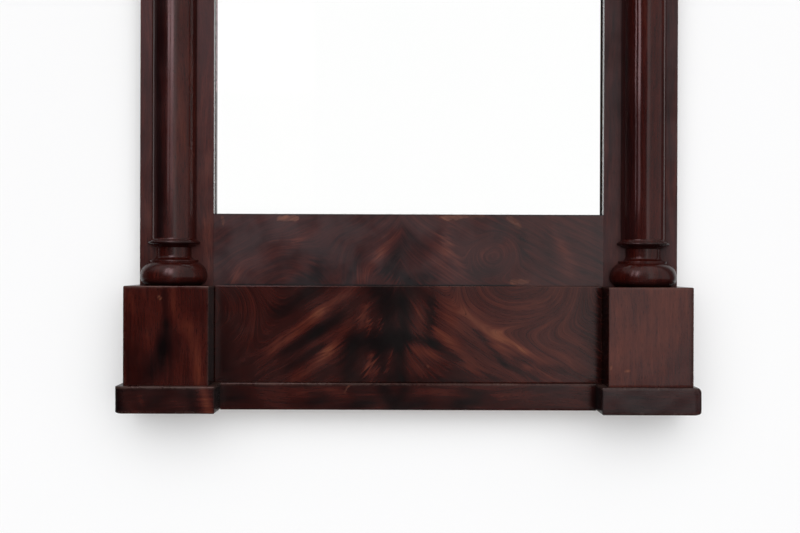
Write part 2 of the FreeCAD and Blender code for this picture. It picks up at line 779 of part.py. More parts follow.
def hanger(hand):
    """One plate with a hinged eye, and the room cut for it in the back of the top rail."""
    x = dims.hanger_spacing / 2 * SIDES[hand]
    neck_x = (x - eye_half, x + eye_half)
    notch_x = (x - notch_half, x + notch_half)
    plate_x = (x - plate_half, x + plate_half)
    room = dims.fastener_clearance
    disc = rod_forward(f"eye_disc_{hand}", dims.eye_outer_radius, dims.leaf_thickness,
                       x, leaf_back, ZERO)
    neck = box(f"eye_neck_{hand}", neck_x, leaf_y, (pin_z, ZERO))
    knuckle = rod_across(f"eye_knuckle_{hand}", dims.knuckle_radius, neck_x, pin_y, pin_z)
    hole = rod_forward(f"eye_hole_{hand}", dims.eye_hole_radius, dims.leaf_thickness + dims.overrun * 2,
                       x, leaf_back + dims.overrun, ZERO)
    bore = rod_across(f"eye_bore_{hand}", dims.pin_radius + dims.pin_running_clearance,
                      neck_x, pin_y, pin_z)
    eye_blank = fuse(f"eye_blank_{hand}", [disc, neck, knuckle])
    keep(cut(f"hanger_eye_{hand}", eye_blank, [hole, bore]))

    leaf = box(f"plate_leaf_{hand}", plate_x, leaf_y, (plate_bottom, pin_z))
    plate_knuckle = rod_across(f"plate_knuckle_{hand}", dims.knuckle_radius, plate_x, pin_y, pin_z)
    notch_reach = dims.knuckle_radius + dims.knuckle_side_clearance
    notch = box(f"plate_notch_{hand}", notch_x, (-dims.knuckle_radius * 2 - dims.overrun, dims.overrun),
                (pin_z - notch_reach, pin_z + notch_reach))
    plate_bore = rod_across(f"plate_bore_{hand}", dims.pin_radius + room, plate_x, pin_y, pin_z)
    screw_cuts = []
    for number in range(2):
        z = pin_z - dims.plate_screw_inset - dims.plate_screw_spacing * number
        for label, gap, shapes in (("screw", ZERO, hanger_screws), ("screw_hole", room, screw_cuts)):
            shapes.append(countersunk(
                f"plate_{label}_{hand}_{number}", dims.plate_screw_radius,
                dims.plate_screw_head_radius, dims.leaf_thickness, dims.plate_screw_length,
                x, leaf_back, z, gap))
    plate_blank = fuse(f"plate_blank_{hand}", [leaf, plate_knuckle])
    keep(cut(f"hanger_plate_{hand}", plate_blank, [notch, plate_bore] + screw_cuts))
    hanger_pins.append(rod_across(f"pin_{hand}", dims.pin_radius, plate_x, pin_y, pin_z))

    plate_room = box(
        f"plate_room_{hand}",
        (plate_x[0] - dims.hanger_clearance, plate_x[1] + dims.hanger_clearance),
        (leaf_y[0], dims.overrun),
        (plate_bottom - dims.hanger_clearance, pin_z + dims.knuckle_radius + dims.hanger_clearance))
    swing_half = dims.eye_outer_radius + dims.eye_swing_clearance
    eye_room = box(f"eye_room_{hand}", (x - swing_half, x + swing_half),
                   (-dims.eye_recess_depth, dims.overrun),
                   (pin_z - dims.knuckle_radius - dims.hanger_clearance, swing_half))
    hanger_cuts.extend([plate_room, eye_room] + screw_cuts)


for hand in SIDES:
    hanger(hand)
keep(group("hanger_pins", hanger_pins))
keep(group("hanger_screws", hanger_screws))

# Stiles and rails with their joints cut, and the veneers on their faces
veneer_y = (veneer_face, core_face)
for hand, side in SIDES.items():
    stile = box(f"stile_board_{hand}", span(side, sight_half, core_half), (core_face, ZERO),
                (underside, frame_top))
    stile_cuts = rebates + mortises[hand] + nail_holes[hand] + dowel_holes[hand] + screw_holes[hand]
    for rail in tenon_spans:
        stile_cuts = stile_cuts + peg_holes[f"{rail}_{hand}"]
    keep(cut(f"stile_{hand}", stile, stile_cuts))
    column_z = (block_top, frieze_bottom)
    sheet_blank = box(f"stile_sheet_{hand}", span(side, sight_half, frame_half), veneer_y, column_z)
    keep(cut(f"stile_veneer_{hand}", sheet_blank, dowel_holes[hand]))
    keep(box(f"edge_veneer_{hand}", span(side, core_half, frame_half), (core_face, ZERO), column_z))
rail_levels = {
    "bottom": ((underside, sight_bottom), (block_top, sight_bottom)),
    "top": ((sight_top, frame_top), (sight_top, frieze_bottom)),
}
between_stiles = (-sight_half, sight_half)
for rail, (rail_z, rail_veneer_z) in rail_levels.items():
    board = box(f"{rail}_rail_board", between_stiles, (core_face, ZERO), rail_z)
    blank = fuse(f"{rail}_rail_blank", [board] + tenons[rail])
    rail_cuts = rebates + rail_nail_holes[rail]
    rail_cuts = rail_cuts + peg_holes[f"{rail}_left"] + peg_holes[f"{rail}_right"]
    if rail == "top":
        rail_cuts = rail_cuts + hanger_cuts
    keep(cut(f"{rail}_rail", blank, rail_cuts))
    keep(box(f"{rail}_rail_veneer", between_stiles, veneer_y, rail_veneer_z))

doc.recompute()

# Nothing is written unless every object worked out and every piece is a sound solid
for item in doc.Objects:
    if "Invalid" in item.State or "Error" in item.State:
        raise RuntimeError(f"{item.Label} failed: {item.State}")
for node in nodes:
    if node.Shape.isNull() or not node.Shape.isValid() or not node.Shape.Solids:
        raise RuntimeError(f"{node.Label} has no sound solid")
os.makedirs("parts", exist_ok=True)
for node in nodes:
    node.Shape.exportStep(f"parts/{node.Label}.step")
    print(node.Label, len(node.Shape.Solids), round(node.Shape.Volume))
print(len(nodes), "pieces written")
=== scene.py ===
# Looks of the mahogany column mirror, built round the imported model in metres.
# +Z is up, the front faces -Y, the wall is the plane y = 0 and the middle is x = 0.
import bpy
import math
import numpy as np
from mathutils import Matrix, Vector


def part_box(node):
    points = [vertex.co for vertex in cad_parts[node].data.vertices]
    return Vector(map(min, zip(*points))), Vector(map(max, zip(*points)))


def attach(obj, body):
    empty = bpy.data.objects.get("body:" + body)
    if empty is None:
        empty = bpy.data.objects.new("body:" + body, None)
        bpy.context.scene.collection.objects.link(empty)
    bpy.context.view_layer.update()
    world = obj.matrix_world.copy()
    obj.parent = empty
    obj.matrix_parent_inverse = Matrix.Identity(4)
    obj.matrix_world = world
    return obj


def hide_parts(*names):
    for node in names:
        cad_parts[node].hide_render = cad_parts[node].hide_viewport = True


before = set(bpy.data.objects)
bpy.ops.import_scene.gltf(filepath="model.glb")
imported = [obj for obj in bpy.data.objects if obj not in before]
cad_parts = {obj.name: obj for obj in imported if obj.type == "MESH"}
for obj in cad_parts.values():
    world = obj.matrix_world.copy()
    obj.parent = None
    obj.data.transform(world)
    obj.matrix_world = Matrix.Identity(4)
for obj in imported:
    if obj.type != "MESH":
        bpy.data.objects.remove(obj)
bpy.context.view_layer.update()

MM = 0.001
SIDES = {"left": -1, "right": 1}
QUARTER = math.pi / 2
FRONT = (1, -1)
# Below these a corner is sharp and a face has no area
LEAST_RADIUS = 0.02 * MM
LEAST_AREA = 1e-6 * MM ** 2
# The radius in millimetres at which ways round a turned piece are measured
ROUND_RADIUS = 24


def both(*names):
    """The left and right pieces of each name."""
    return tuple(f"{name}_{hand}" for name in names for hand in SIDES)


def add_object(name, data):
    """A new object of the scene, made of a mesh, a light or a camera."""
    added = bpy.data.objects.new(name, data)
    bpy.context.scene.collection.objects.link(added)
    return added


# Shader graphs

class Graph:
    """The nodes of one material or world, with short ways to add and link them."""

    def __init__(self, tree):
        self.tree = tree
        tree.nodes.clear()

    def node(self, kind, inputs=None, **settings):
        """Add a node; an input is a plain value or another node's output."""
        added = self.tree.nodes.new(kind)
        for name, value in settings.items():
            setattr(added, name, value)
        for name, value in (inputs or {}).items():
            if isinstance(value, bpy.types.NodeSocket):
                self.tree.links.new(value, added.inputs[name])
            else:
                added.inputs[name].default_value = value
        return added

    def math(self, operation, first, second=0.0, third=0.0):
        """One step of arithmetic."""
        return self.node("ShaderNodeMath", {0: first, 1: second, 2: third}, operation=operation).outputs[0]

    def mix(self, share, first, second, kind="RGBA"):
        """One colour mixed into another by a share."""
        inputs = {"Factor": share, "A": first, "B": second}
        return self.node("ShaderNodeMix", inputs, data_type=kind).outputs["Result"]

    def blend(self, share, first, second):
        """One value mixed into another by a share."""
        return self.mix(share, first, second, "FLOAT")

    def remap(self, value, low, high, to_low=0.0, to_high=1.0):
        """A value eased from one range to another and held at both ends."""
        inputs = {"Value": value, "From Min": low, "From Max": high, "To Min": to_low, "To Max": to_high}
        return self.node("ShaderNodeMapRange", inputs, interpolation_type="SMOOTHSTEP").outputs["Result"]

    def ramp(self, value, stops):
        """A colour for each value, from a list of places and colours."""
        added = self.node("ShaderNodeValToRGB", {"Fac": value})
        elements = added.color_ramp.elements
        while len(elements) < len(stops):
            elements.new(1.0)
        for element, (place, colour) in zip(elements, stops):
            element.position = place
            element.color = (*colour, 1.0)
        return added.outputs["Color"]

    def attribute(self, name, output="Fac"):
        """One of the piece's own fields."""
        return self.node("ShaderNodeAttribute", attribute_name=name).outputs[output]

    def stretched(self, vector, scale):
        """A vector multiplied part by part, or evenly by one number."""
        if isinstance(scale, float):
            scale = (scale, scale, scale)
        return self.node("ShaderNodeVectorMath", {0: vector, 1: scale}, operation="MULTIPLY").outputs[0]

    def noise(self, vector, scale, detail=3.0, roughness=0.55, distortion=0.0):
        """Cloudy values about 0.5, one cloud to each unit of the stretched vector."""
        inputs = {"Vector": self.stretched(vector, scale), "Scale": 1.0, "Detail": detail,
                  "Roughness": roughness, "Distortion": distortion}
        return self.node("ShaderNodeTexNoise", inputs).outputs["Fac"]

    def object_place(self):
        """The place on the piece in metres."""
        return self.node("ShaderNodeTexCoord").outputs["Object"]

    def parts(self, vector):
        """The X, Y and Z of a vector."""
        return self.node("ShaderNodeSeparateXYZ", {0: vector}).outputs

    def bump(self, height, strength, distance):
        """A surface normal raised by a height."""
        inputs = {"Strength": strength, "Distance": distance, "Height": height}
        return self.node("ShaderNodeBump", inputs).outputs["Normal"]

    def surface(self, inputs):
        """A principled surface sent to the output."""
        self.finish(self.node("ShaderNodeBsdfPrincipled", inputs).outputs[0])

    def finish(self, shader, kind="ShaderNodeOutputMaterial"):
        """Send a shader to the output."""
        self.node(kind, {"Surface": shader})


def new_graph(name):
    """A material with an empty graph."""
    material = bpy.data.materials.new(name)
    material.use_nodes = True
    return material, Graph(material.node_tree)


# Colours of polished mahogany from its darkest streak to its brightest flare
MAHOGANY_STOPS = (
    (0.0, (0.0030, 0.0008, 0.0010)),
    (0.22, (0.010, 0.0014, 0.0014)),
    (0.42, (0.025, 0.0030, 0.0022)),
    (0.6, (0.047, 0.0058, 0.0035)),
    (0.8, (0.092, 0.0155, 0.0070)),
    (1.0, (0.165, 0.043, 0.017)),
)


def mahogany(name, gloss_roughness, streak_share, bump_strength, specular=0.5):
    """French-polished mahogany from the piece's fields: grain, tone with some painted shade, edges of rubbed
    polish and painted highlight, chips, haze of old polish and painted sheen.
    """
    material, graph = new_graph(name)
    grain = graph.attribute("grain", "Vector")
    place = graph.object_place()
    broad = graph.noise(grain, (140.0, 15.0, 1.0), 3.0, 0.6)
    fine = graph.noise(grain, (430.0, 30.0, 1.0), 4.0, 0.65)
    pores = graph.noise(grain, (2100.0, 150.0, 1.0), 1.0)
    cloud = graph.noise(place, 24.0)
    speck = graph.noise(place, 310.0, 3.0, 0.65)
    tone = graph.attribute("tone")
    for cloudy, share in ((broad, streak_share), (fine, streak_share * 0.8), (cloud, 0.14)):
        tone = graph.math("MULTIPLY_ADD", graph.math("SUBTRACT", cloudy, 0.5), share, tone)
    colour = graph.ramp(tone, MAHOGANY_STOPS)
    pore_share = graph.remap(pores, 0.56, 0.7, 0.0, 0.5)
    colour = graph.mix(pore_share, colour, (0.004, 0.0012, 0.001, 1.0))
    chip = graph.math("MULTIPLY", graph.attribute("chip"), graph.remap(broad, 0.35, 0.6, 0.55, 1.0))
    bare = graph.mix(graph.remap(fine, 0.35, 0.65), (0.13, 0.030, 0.012, 1.0), (0.27, 0.080, 0.032, 1.0))
    colour = graph.mix(chip, colour, bare)
    # Paler edges, partly rubbed polish and partly a painted highlight where rounded arrises catch the light
    worn_and_lit = graph.math("ADD", graph.math("MULTIPLY", cloud, 0.6), graph.math("MULTIPLY", speck, 0.6))
    wear = graph.math("MULTIPLY", graph.attribute("wear"), graph.remap(worn_and_lit, 0.44, 0.72))
    colour = graph.mix(wear, colour, (0.16, 0.092, 0.07, 1.0))
    # Milky haze, partly a dull layer of old polish and partly painted sheen in place of the room's reflection
    bloom = graph.math("MULTIPLY", graph.attribute("bloom"), graph.remap(cloud, 0.32, 0.68, 0.65, 1.35))
    bloom = graph.math("MULTIPLY", bloom, graph.math("SUBTRACT", 1.0, chip))
    colour = graph.mix(bloom, colour, (0.90, 0.84, 0.92, 1.0))
    roughness = graph.remap(cloud, 0.3, 0.75, gloss_roughness * 0.8, gloss_roughness * 1.35)
    roughness = graph.math("MULTIPLY_ADD", speck, 0.04, roughness)
    roughness = graph.math("MULTIPLY_ADD", graph.math("MAXIMUM", wear, chip), 0.25, roughness)
    height = graph.math("MULTIPLY_ADD", pore_share, -0.5, graph.math("MULTIPLY", fine, 0.6))
    height = graph.math("MULTIPLY_ADD", chip, -0.6, height)
    graph.surface({"Base Color": colour, "Roughness": roughness, "IOR": 1.5,
                   "Specular IOR Level": specular, "Normal": graph.bump(height, bump_strength, 0.0002)})
    return material


def pine(name, grain_scale, polished_edge):
    """Old pine with rings along one axis, knots and dust; its sight edge is stained and polished."""
    material, graph = new_graph(name)
    place = graph.object_place()
    warp = graph.noise(place, 9.0, 2.0)
    grain = graph.node("ShaderNodeVectorMath", {0: graph.stretched(place, grain_scale), 1: warp},
                       operation="ADD").outputs[0]
    rings = graph.noise(grain, 1.0, 3.0, 0.6, 0.8)
    fibres = graph.noise(grain, 6.0, 3.0, 0.65)
    dust = graph.noise(place, 26.0, 5.0, 0.62)
    cells = graph.stretched(place, (4.0, 5.0, 5.0))
    knots = graph.node("ShaderNodeTexVoronoi", {"Vector": cells, "Scale": 1.0}).outputs["Distance"]
    tone = graph.math("MULTIPLY_ADD", graph.math("SUBTRACT", fibres, 0.5), 0.5, rings)
    colour = graph.ramp(tone, ((0.2, (0.30, 0.165, 0.072)), (0.5, (0.40, 0.235, 0.110)),
                               (0.66, (0.24, 0.120, 0.050)), (0.9, (0.15, 0.070, 0.030))))
    colour = graph.mix(graph.remap(knots, 0.08, 0.04, 0.0, 0.75), colour, (0.075, 0.032, 0.014, 1.0))
    colour = graph.mix(graph.remap(dust, 0.46, 0.75, 0.0, 0.5), colour, (0.105, 0.078, 0.055, 1.0))
    roughness = graph.remap(dust, 0.3, 0.7, 0.62, 0.85)
    if polished_edge:
        stained = graph.remap(graph.parts(place)["Y"], -13.6 * MM, -14.2 * MM)
        stain = graph.mix(fibres, (0.012, 0.003, 0.002, 1.0), (0.04, 0.011, 0.007, 1.0))
        colour = graph.mix(stained, colour, stain)
        roughness = graph.blend(stained, roughness, 0.1)
    height = graph.math("MULTIPLY_ADD", rings, 0.6, fibres)
    graph.surface({"Base Color": colour, "Roughness": roughness, "IOR": 1.45,
                   "Normal": graph.bump(height, 0.35, 0.0004)})
    return material


def beech():
    """Pale close-grained dowel wood with short flecks."""
    material, graph = new_graph("beech_pegs")
    place = graph.object_place()
    flecks = graph.noise(place, (900.0, 160.0, 900.0), 2.0)
    cloud = graph.noise(place, 60.0)
    colour = graph.ramp(flecks, ((0.3, (0.34, 0.19, 0.095)), (0.7, (0.19, 0.095, 0.045))))
    colour = graph.mix(graph.remap(cloud, 0.4, 0.7, 0.0, 0.5), colour, (0.12, 0.07, 0.04, 1.0))
    graph.surface({"Base Color": colour, "Roughness": graph.remap(cloud, 0.3, 0.7, 0.5, 0.75),
                   "Normal": graph.bump(flecks, 0.3, 0.0002)})
    return material


def iron():
    """Blackened wrought iron with hammer dents and patches of brown rust."""
    material, graph = new_graph("old_iron")
    place = graph.object_place()
    dents = graph.noise(place, 170.0)
    grit = graph.noise(place, 1500.0, 2.0)
    rust = graph.remap(graph.math("MULTIPLY_ADD", grit, 0.25, dents), 0.58, 0.76)
    bare = graph.mix(grit, (0.07, 0.068, 0.066, 1.0), (0.15, 0.145, 0.14, 1.0))
    graph.surface({"Base Color": graph.mix(rust, bare, (0.115, 0.045, 0.02, 1.0)),
                   "Metallic": graph.remap(rust, 0.0, 1.0, 0.9, 0.1),
                   "Roughness": graph.remap(rust, 0.0, 1.0, 0.38, 0.85),
                   "Normal": graph.bump(graph.math("MULTIPLY_ADD", grit, 0.2, dents), 0.4, 0.0004)})
    return material


def clear_glass():
    """Old plate glass with a faint draw line in its surface and a trace of wiping haze."""
    material, graph = new_graph("mirror_plate_glass")
    place = graph.object_place()
    wave = graph.noise(place, (3.0, 3.0, 9.0), 1.0)
    wipe = graph.noise(place, (30.0, 30.0, 12.0))
    graph.surface({"Base Color": graph.mix(wipe, (1.0, 1.0, 1.0, 1.0), (0.994, 0.999, 0.997, 1.0)),
                   "Roughness": graph.remap(wipe, 0.3, 0.8, 0.0, 0.012), "IOR": 1.5,
                   "Transmission Weight": 1.0, "Specular Tint": (0.1, 0.1, 0.1, 1.0),
                   "Normal": graph.bump(wave, 0.02, 0.001)})
    return material


def silvering():
    """Bright tin backing that has gone grey in small spots near its edges."""
    material, graph = new_graph("mirror_tin_backing")
    low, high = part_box("mirror_silvering")
    place = graph.object_place()
    parts = graph.parts(place)
    side_gap = graph.math("SUBTRACT", high.x, graph.math("ABSOLUTE", parts["X"]))
    top_gap = graph.math("SUBTRACT", high.z, parts["Z"])
    foot_gap = graph.math("SUBTRACT", parts["Z"], low.z)
    edge_gap = graph.math("MINIMUM", graph.math("MINIMUM", side_gap, top_gap), foot_gap)
    spots = graph.noise(place, 240.0, 4.0, 0.65)
    near_edge = graph.remap(edge_gap, 11.0 * MM, 4.0 * MM)
    spoiled = graph.math("MULTIPLY", near_edge, graph.remap(spots, 0.5, 0.62))
    graph.surface({"Base Color": graph.mix(spoiled, (0.998, 0.998, 0.996, 1.0), (0.22, 0.21, 0.20, 1.0)),
                   "Metallic": 1.0, "Roughness": graph.remap(spoiled, 0.0, 1.0, 0.0, 0.5)})
    return material


# Each by the roughness of its gloss, the share of its streaks and the strength of its bump
VENEER = mahogany("mahogany_flame_veneer", 0.17, 0.55, 0.12)
PLAIN_VENEER = mahogany("mahogany_plain_veneer", 0.13, 0.42, 0.14)
DULL_VENEER = mahogany("mahogany_dull_veneer", 0.34, 0.6, 0.14, specular=0.2)
SHAFTS = {"left": mahogany("mahogany_shaft_left", 0.15, 0.45, 0.1),
          "right": mahogany("mahogany_shaft_right", 0.075, 0.45, 0.1)}
TURNED = mahogany("mahogany_turned", 0.2, 0.45, 0.1)
SOLID = mahogany("mahogany_solid", 0.2, 0.45, 0.16)


# Surfaces

def ripple(u, v, wavelength, seed):
    """Unevenness of about -1 to 1: the sum of six sine waves in fixed directions, divided by three."""
    waves = np.random.default_rng(seed).uniform((0.0, 0.6, 0.0), (math.pi, 1.7, 2 * math.pi), (6, 3))
    total = np.zeros(np.broadcast(u, v).shape)
    for angle, stretch, phase in waves:
        across = u * np.cos(angle) + v * np.sin(angle)
        total += np.sin(2 * math.pi * across / (wavelength * stretch) + phase)
    return total / 3


def ease(value, low, high):
    """0 at low and 1 at high, smooth between and held outside."""
    share = np.clip((value - low) / (high - low), 0.0, 1.0)
    return share * share * (3 - 2 * share)


def grid_shape(points, fields):
    """The open sheet of a grid, as points, squares and fields in rows, and the numbers of its points."""
    index = np.arange(points.size // 3).reshape(points.shape[:2])
    corners = (index[:-1, :-1], index[:-1, 1:], index[1:, 1:], index[1:, :-1])
    squares = np.stack(corners, axis=-1).reshape(-1, 4).tolist()
    fields = {name: values.reshape(index.size, -1).squeeze() for name, values in fields.items()}
    return (points.reshape(-1, 3), squares, fields), index


def make_piece(node, points, faces, fields, material):
    """A polished piece that stands for a node, with its fields kept on its points."""
    mesh = bpy.data.meshes.new(f"{node}_polished")
    mesh.from_pydata(points.tolist(), [], faces)
    for field, values in fields.items():
        vector = values.ndim == 2
        attribute = mesh.attributes.new(field, "FLOAT_VECTOR" if vector else "FLOAT", "POINT")
        attribute.data.foreach_set("vector" if vector else "value", values.astype(np.float32).ravel())
    mesh.polygons.foreach_set("use_smooth", np.ones(len(mesh.polygons), dtype=bool))
    mesh.materials.append(material)
    piece = add_object(f"{node}_polished", mesh)
    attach(piece, "frame")
    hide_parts(node)


def add_cap(shape, ring, forward, extra=()):
    """Close a ring of points, carried on through extra places, with one flat face of its own corners.

    It faces the side from which the ring runs anticlockwise if forward is true, or else the other side.
    """
    points, faces, fields = shape
    start = len(points)
    extra = np.array(extra, dtype=float).reshape(-1, 3)
    source = np.concatenate([ring, np.full(len(extra), ring[-1] if len(ring) else 0)])
    points = np.concatenate([points, points[ring], extra])
    fields = {name: np.concatenate([values, values[source]]) for name, values in fields.items()}
    loop = list(range(start, len(points)))
    return points, faces + [loop if forward else loop[::-1]], fields


def sound(shape):
    """A shape with one corner of each face to a place, no face without area and no spare point."""
    points, faces, fields = shape
    place = np.unique(np.round(points / MM, 4), axis=0, return_inverse=True)[1].ravel().tolist()
    kept = []
    for face in faces:
        face = list({place[corner]: corner for corner in face}.values())
        if len(face) > 3:
            kept.append(face)
        elif len(face) == 3:
            area = np.linalg.norm(np.cross(*np.diff(points[face], axis=0)))
            if area > LEAST_AREA:
                kept.append(face)
    used = sorted({corner for face in kept for corner in face})
    number = dict(zip(used, range(len(used))))
    faces = [[number[corner] for corner in face] for face in kept]
    return points[used], faces, {name: values[used] for name, values in fields.items()}


def lid_run(low, high, arris, depth, step):
    """Places across a lid and how far each lies below its face.

    From the back edge up a straight side, round an arris, over the flat and down the other side.
    """
    turn = np.linspace(QUARTER, 0.0, 5)
    below = min(arris * 2, depth * 0.9)
    side_place = np.concatenate([[0.0, 0.0], arris * (1 - np.sin(turn)), [arris * 1.4]])
    side_drop = np.concatenate([[depth, below], arris * (1 - np.cos(turn)), [0.0]])
    flat = np.linspace(low + arris * 3, high - arris * 3, max(2, round((high - low) / step)))
    places = np.concatenate([low + side_place, flat, high - side_place[::-1]])
    drops = np.concatenate([side_drop, np.zeros(len(flat)), side_drop[::-1]])
    return places, drops


def lid(node, facing, arris, step, figure, material, worn_and_lit=0.5):
    """A sheet with rounded arrises and straight sides, as a height over its face.

    The height falls by the root of the squares of the drops along and across; facing is the axis and
    sign of its outward side; the figure is worked out in millimetres from the middle of the sheet.
    """
    low, high = (np.array(corner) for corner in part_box(node))
    axis, sign = facing
    across_axis, up_axis = {0: (1, 2), 1: (0, 2), 2: (0, 1)}[axis]
    depth = high[axis] - low[axis]
    u, u_drop = lid_run(low[across_axis], high[across_axis], arris, depth, step)
    v, v_drop = lid_run(low[up_axis], high[up_axis], arris, depth, step)
    grid_u, grid_v = np.meshgrid(u, v)
    drop = np.minimum(np.hypot(*np.meshgrid(u_drop, v_drop)), depth)
    edge_gap = np.minimum(np.minimum(grid_u - u[0], u[-1] - grid_u),
                          np.minimum(grid_v - v[0], v[-1] - grid_v))
    fields = figure((grid_u - (u[0] + u[-1]) / 2) / MM, (grid_v - (v[0] + v[-1]) / 2) / MM)
    # Paler edges along the arrises, partly rubbed polish and partly painted highlight
    fields["wear"] = worn_and_lit * np.exp(-edge_gap / (arris * 0.5)) * ease(drop, arris * 1.8, arris)
    points = np.zeros((*grid_u.shape, 3))
    points[..., across_axis] = grid_u
    points[..., up_axis] = grid_v
    points[..., axis] = (high[axis] if sign > 0 else low[axis]) - sign * drop
    sheet, index = grid_shape(points, fields)
    ring = np.concatenate([index[0], index[1:, -1], index[-1, -2::-1], index[-2:0:-1, 0]])
    points, faces, fields = sound(add_cap(sheet, ring, False))
    # The order of the squares gives normals along u cross v, which is +X, -Y or +Z
    if {0: 1, 1: -1, 2: 1}[axis] != sign:
        faces = [face[::-1] for face in faces]
    make_piece(node, points, faces, fields, material)


def plan_rows(corners, roundings, offsets, step, mitres):
    """Rows of plan points of a path with square corners, carried outwards by each offset.

    A straight run moves along its own normal. Each corner is a quarter circle whose radius is its
    rounding plus the offset. A mitred end also moves along the run.
    """
    corners = np.array(corners, dtype=float)
    offsets = np.array(offsets, dtype=float)[:, None, None]
    runs = np.diff(corners, axis=0)
    directions = runs / np.linalg.norm(runs, axis=1)[:, None]
    normals = np.stack([directions[:, 1], -directions[:, 0]], axis=1)
    start = corners[0] + offsets[:, 0] * (normals[0] - mitres[0] * directions[0])
    pieces = [start[:, None]]
    flags = [np.zeros(1)]
    turn = np.linspace(0.0, QUARTER, 11)[None, :, None]
    ends = []
    for corner, rounding, before, after in zip(corners[1:-1], roundings, normals[:-1], normals[1:]):
        radii = np.maximum(rounding + offsets, LEAST_RADIUS)
        middle = corner + (before + after) * (offsets - radii)
        ends.append(middle + radii * (before * np.cos(turn) + after * np.sin(turn)))
    last = corners[-1] + offsets[:, 0] * (normals[-1] + mitres[1] * directions[-1])
    ends.append(last[:, None])
    for run, arc_points in zip(runs, ends):
        count = max(2, round(np.linalg.norm(run) / step))
        shares = np.linspace(0.0, 1.0, count + 1)[1:-1][None, :, None]
        begin = pieces[-1][:, -1:]
        pieces.append(begin + (arc_points[:, :1] - begin) * shares)
        flags.append(np.zeros(count - 1))
        pieces.append(arc_points)
        flags.append(np.full(arc_points.shape[1], float(arc_points.shape[1] > 1)))
    return np.concatenate(pieces, axis=1), np.concatenate(flags)


def path_lengths(points):
    """The distance along a line of points at each of them."""
    return np.concatenate([[0.0], np.cumsum(np.linalg.norm(np.diff(points, axis=0), axis=1))])


def middle_of(node):
    """The middle of a node's box."""
    low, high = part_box(node)
    return (low + high) / 2


def moulding(node, corners, roundings, profile, worn_and_lit, step, figure, material,
             mitres=(0, 0), corner_wear_and_sheen=0.0, back_corners=(), inner=(), shift=None):
    """A profile of offsets and heights carried along a plan path.

    Point (k, m) is the plan path moved out by offset k, at height k. Each profile row has a share of
    paler edge colour, partly rubbed polish and partly painted highlight, and shift moves the points for
    hand-made shapes. A piece with back corners is closed through them by a flat top, bottom and back. A
    piece with inner offsets and heights, from its head round its back to its foot, is closed through
    them and at its ends.
    """
    profile = np.array(profile, dtype=float)
    plan, corner_flags = plan_rows(corners, roundings, profile[:, 0], step, mitres)
    rows, columns = plan.shape[:2]
    height = np.repeat(profile[:, 1:], columns, axis=1)
    points = np.concatenate([plan, height[..., None]], axis=-1)
    along = np.repeat(path_lengths(plan[rows // 2])[None], rows, axis=0)
    up = np.repeat(path_lengths(profile)[:, None], columns, axis=1)
    middle = middle_of(node)
    fields = figure((points[..., 0] - middle.x) / MM, (points[..., 2] - middle.z) / MM, along / MM, up / MM)
    # Paler edge colour by row and on round corners, partly rubbed polish and partly painted highlight
    fields["wear"] = np.maximum(np.array(worn_and_lit, dtype=float)[:, None], corner_flags[None] * corner_wear_and_sheen)
    if shift is not None:
        points = points + shift(points, along, up)
    shape, index = grid_shape(points, fields)
    if back_corners:
        foot, head = ([(x, y, profile[row, 1]) for x, y in back_corners] for row in (0, -1))
        shape = add_cap(shape, index[0], False, foot)
        shape = add_cap(shape, index[-1], True, head)
        shape = add_cap(shape, index[:, -1], False, (head[0], foot[0]))
        shape = add_cap(shape, index[:0, 0], True, (foot[0], foot[1], head[1], head[0]))
        shape = add_cap(shape, index[:, 0], True, (head[1], foot[1]))
    if inner:
        inner = np.array(inner)
        ends = plan_rows(corners, roundings, inner[:, 0], step, mitres)[0][:, [0, -1]]
        levels = np.repeat(inner[:, 1:], 2, axis=1)
        ends = np.concatenate([ends, levels[..., None]], axis=-1)
        shape = add_cap(shape, index[-1], True, ends[0, ::-1])
        for upper, lower in zip(ends[:-1], ends[1:]):
            shape = add_cap(shape, index[-1, :0], True, (*upper, *lower[::-1]))
        shape = add_cap(shape, index[0, ::-1], True, ends[-1])
        shape = add_cap(shape, index[:, 0], True, ends[:, 0])
        shape = add_cap(shape, index[:, -1], False, ends[:, 1])
    make_piece(node, *shape, material)


def turned(node, profile, figure, material, waver, seed):
    """Half a turned piece with a flat back: point (k, m) is radius k turned by angle m about its axis.

    The radius wavers a little round and up the piece, as hand turning and scraping leave it.
    """
    profile = np.array(profile, dtype=float)
    angles = np.linspace(-QUARTER, QUARTER, 81)
    height = np.repeat(profile[:, 1:], len(angles), axis=1)
    round_way = np.repeat(angles[None] * ROUND_RADIUS, len(profile), axis=0)
    radius = profile[:, :1] + waver * ripple(round_way, height / MM * 0.25, 22.0, seed)
    axis_x = middle_of(node).x
    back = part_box("stile_veneer_left")[0].y
    points = np.stack([axis_x + radius * np.sin(angles), back - radius * np.cos(angles), height], axis=-1)
    up = np.repeat(path_lengths(profile)[:, None], len(angles), axis=1)
    fields = figure((points[..., 0] - axis_x) / MM, (height - middle_of(node).z) / MM, round_way, up / MM)
    fields["wear"] = np.zeros(height.shape)
    shape, index = grid_shape(points, fields)
    shape = add_cap(shape, index[0], False)
    shape = add_cap(shape, index[-1], True)
    shape = add_cap(shape, np.concatenate([index[:, 0], index[::-1, -1]]), True)
    make_piece(node, *shape, material)


# Figure of the wood, worked out in millimetres

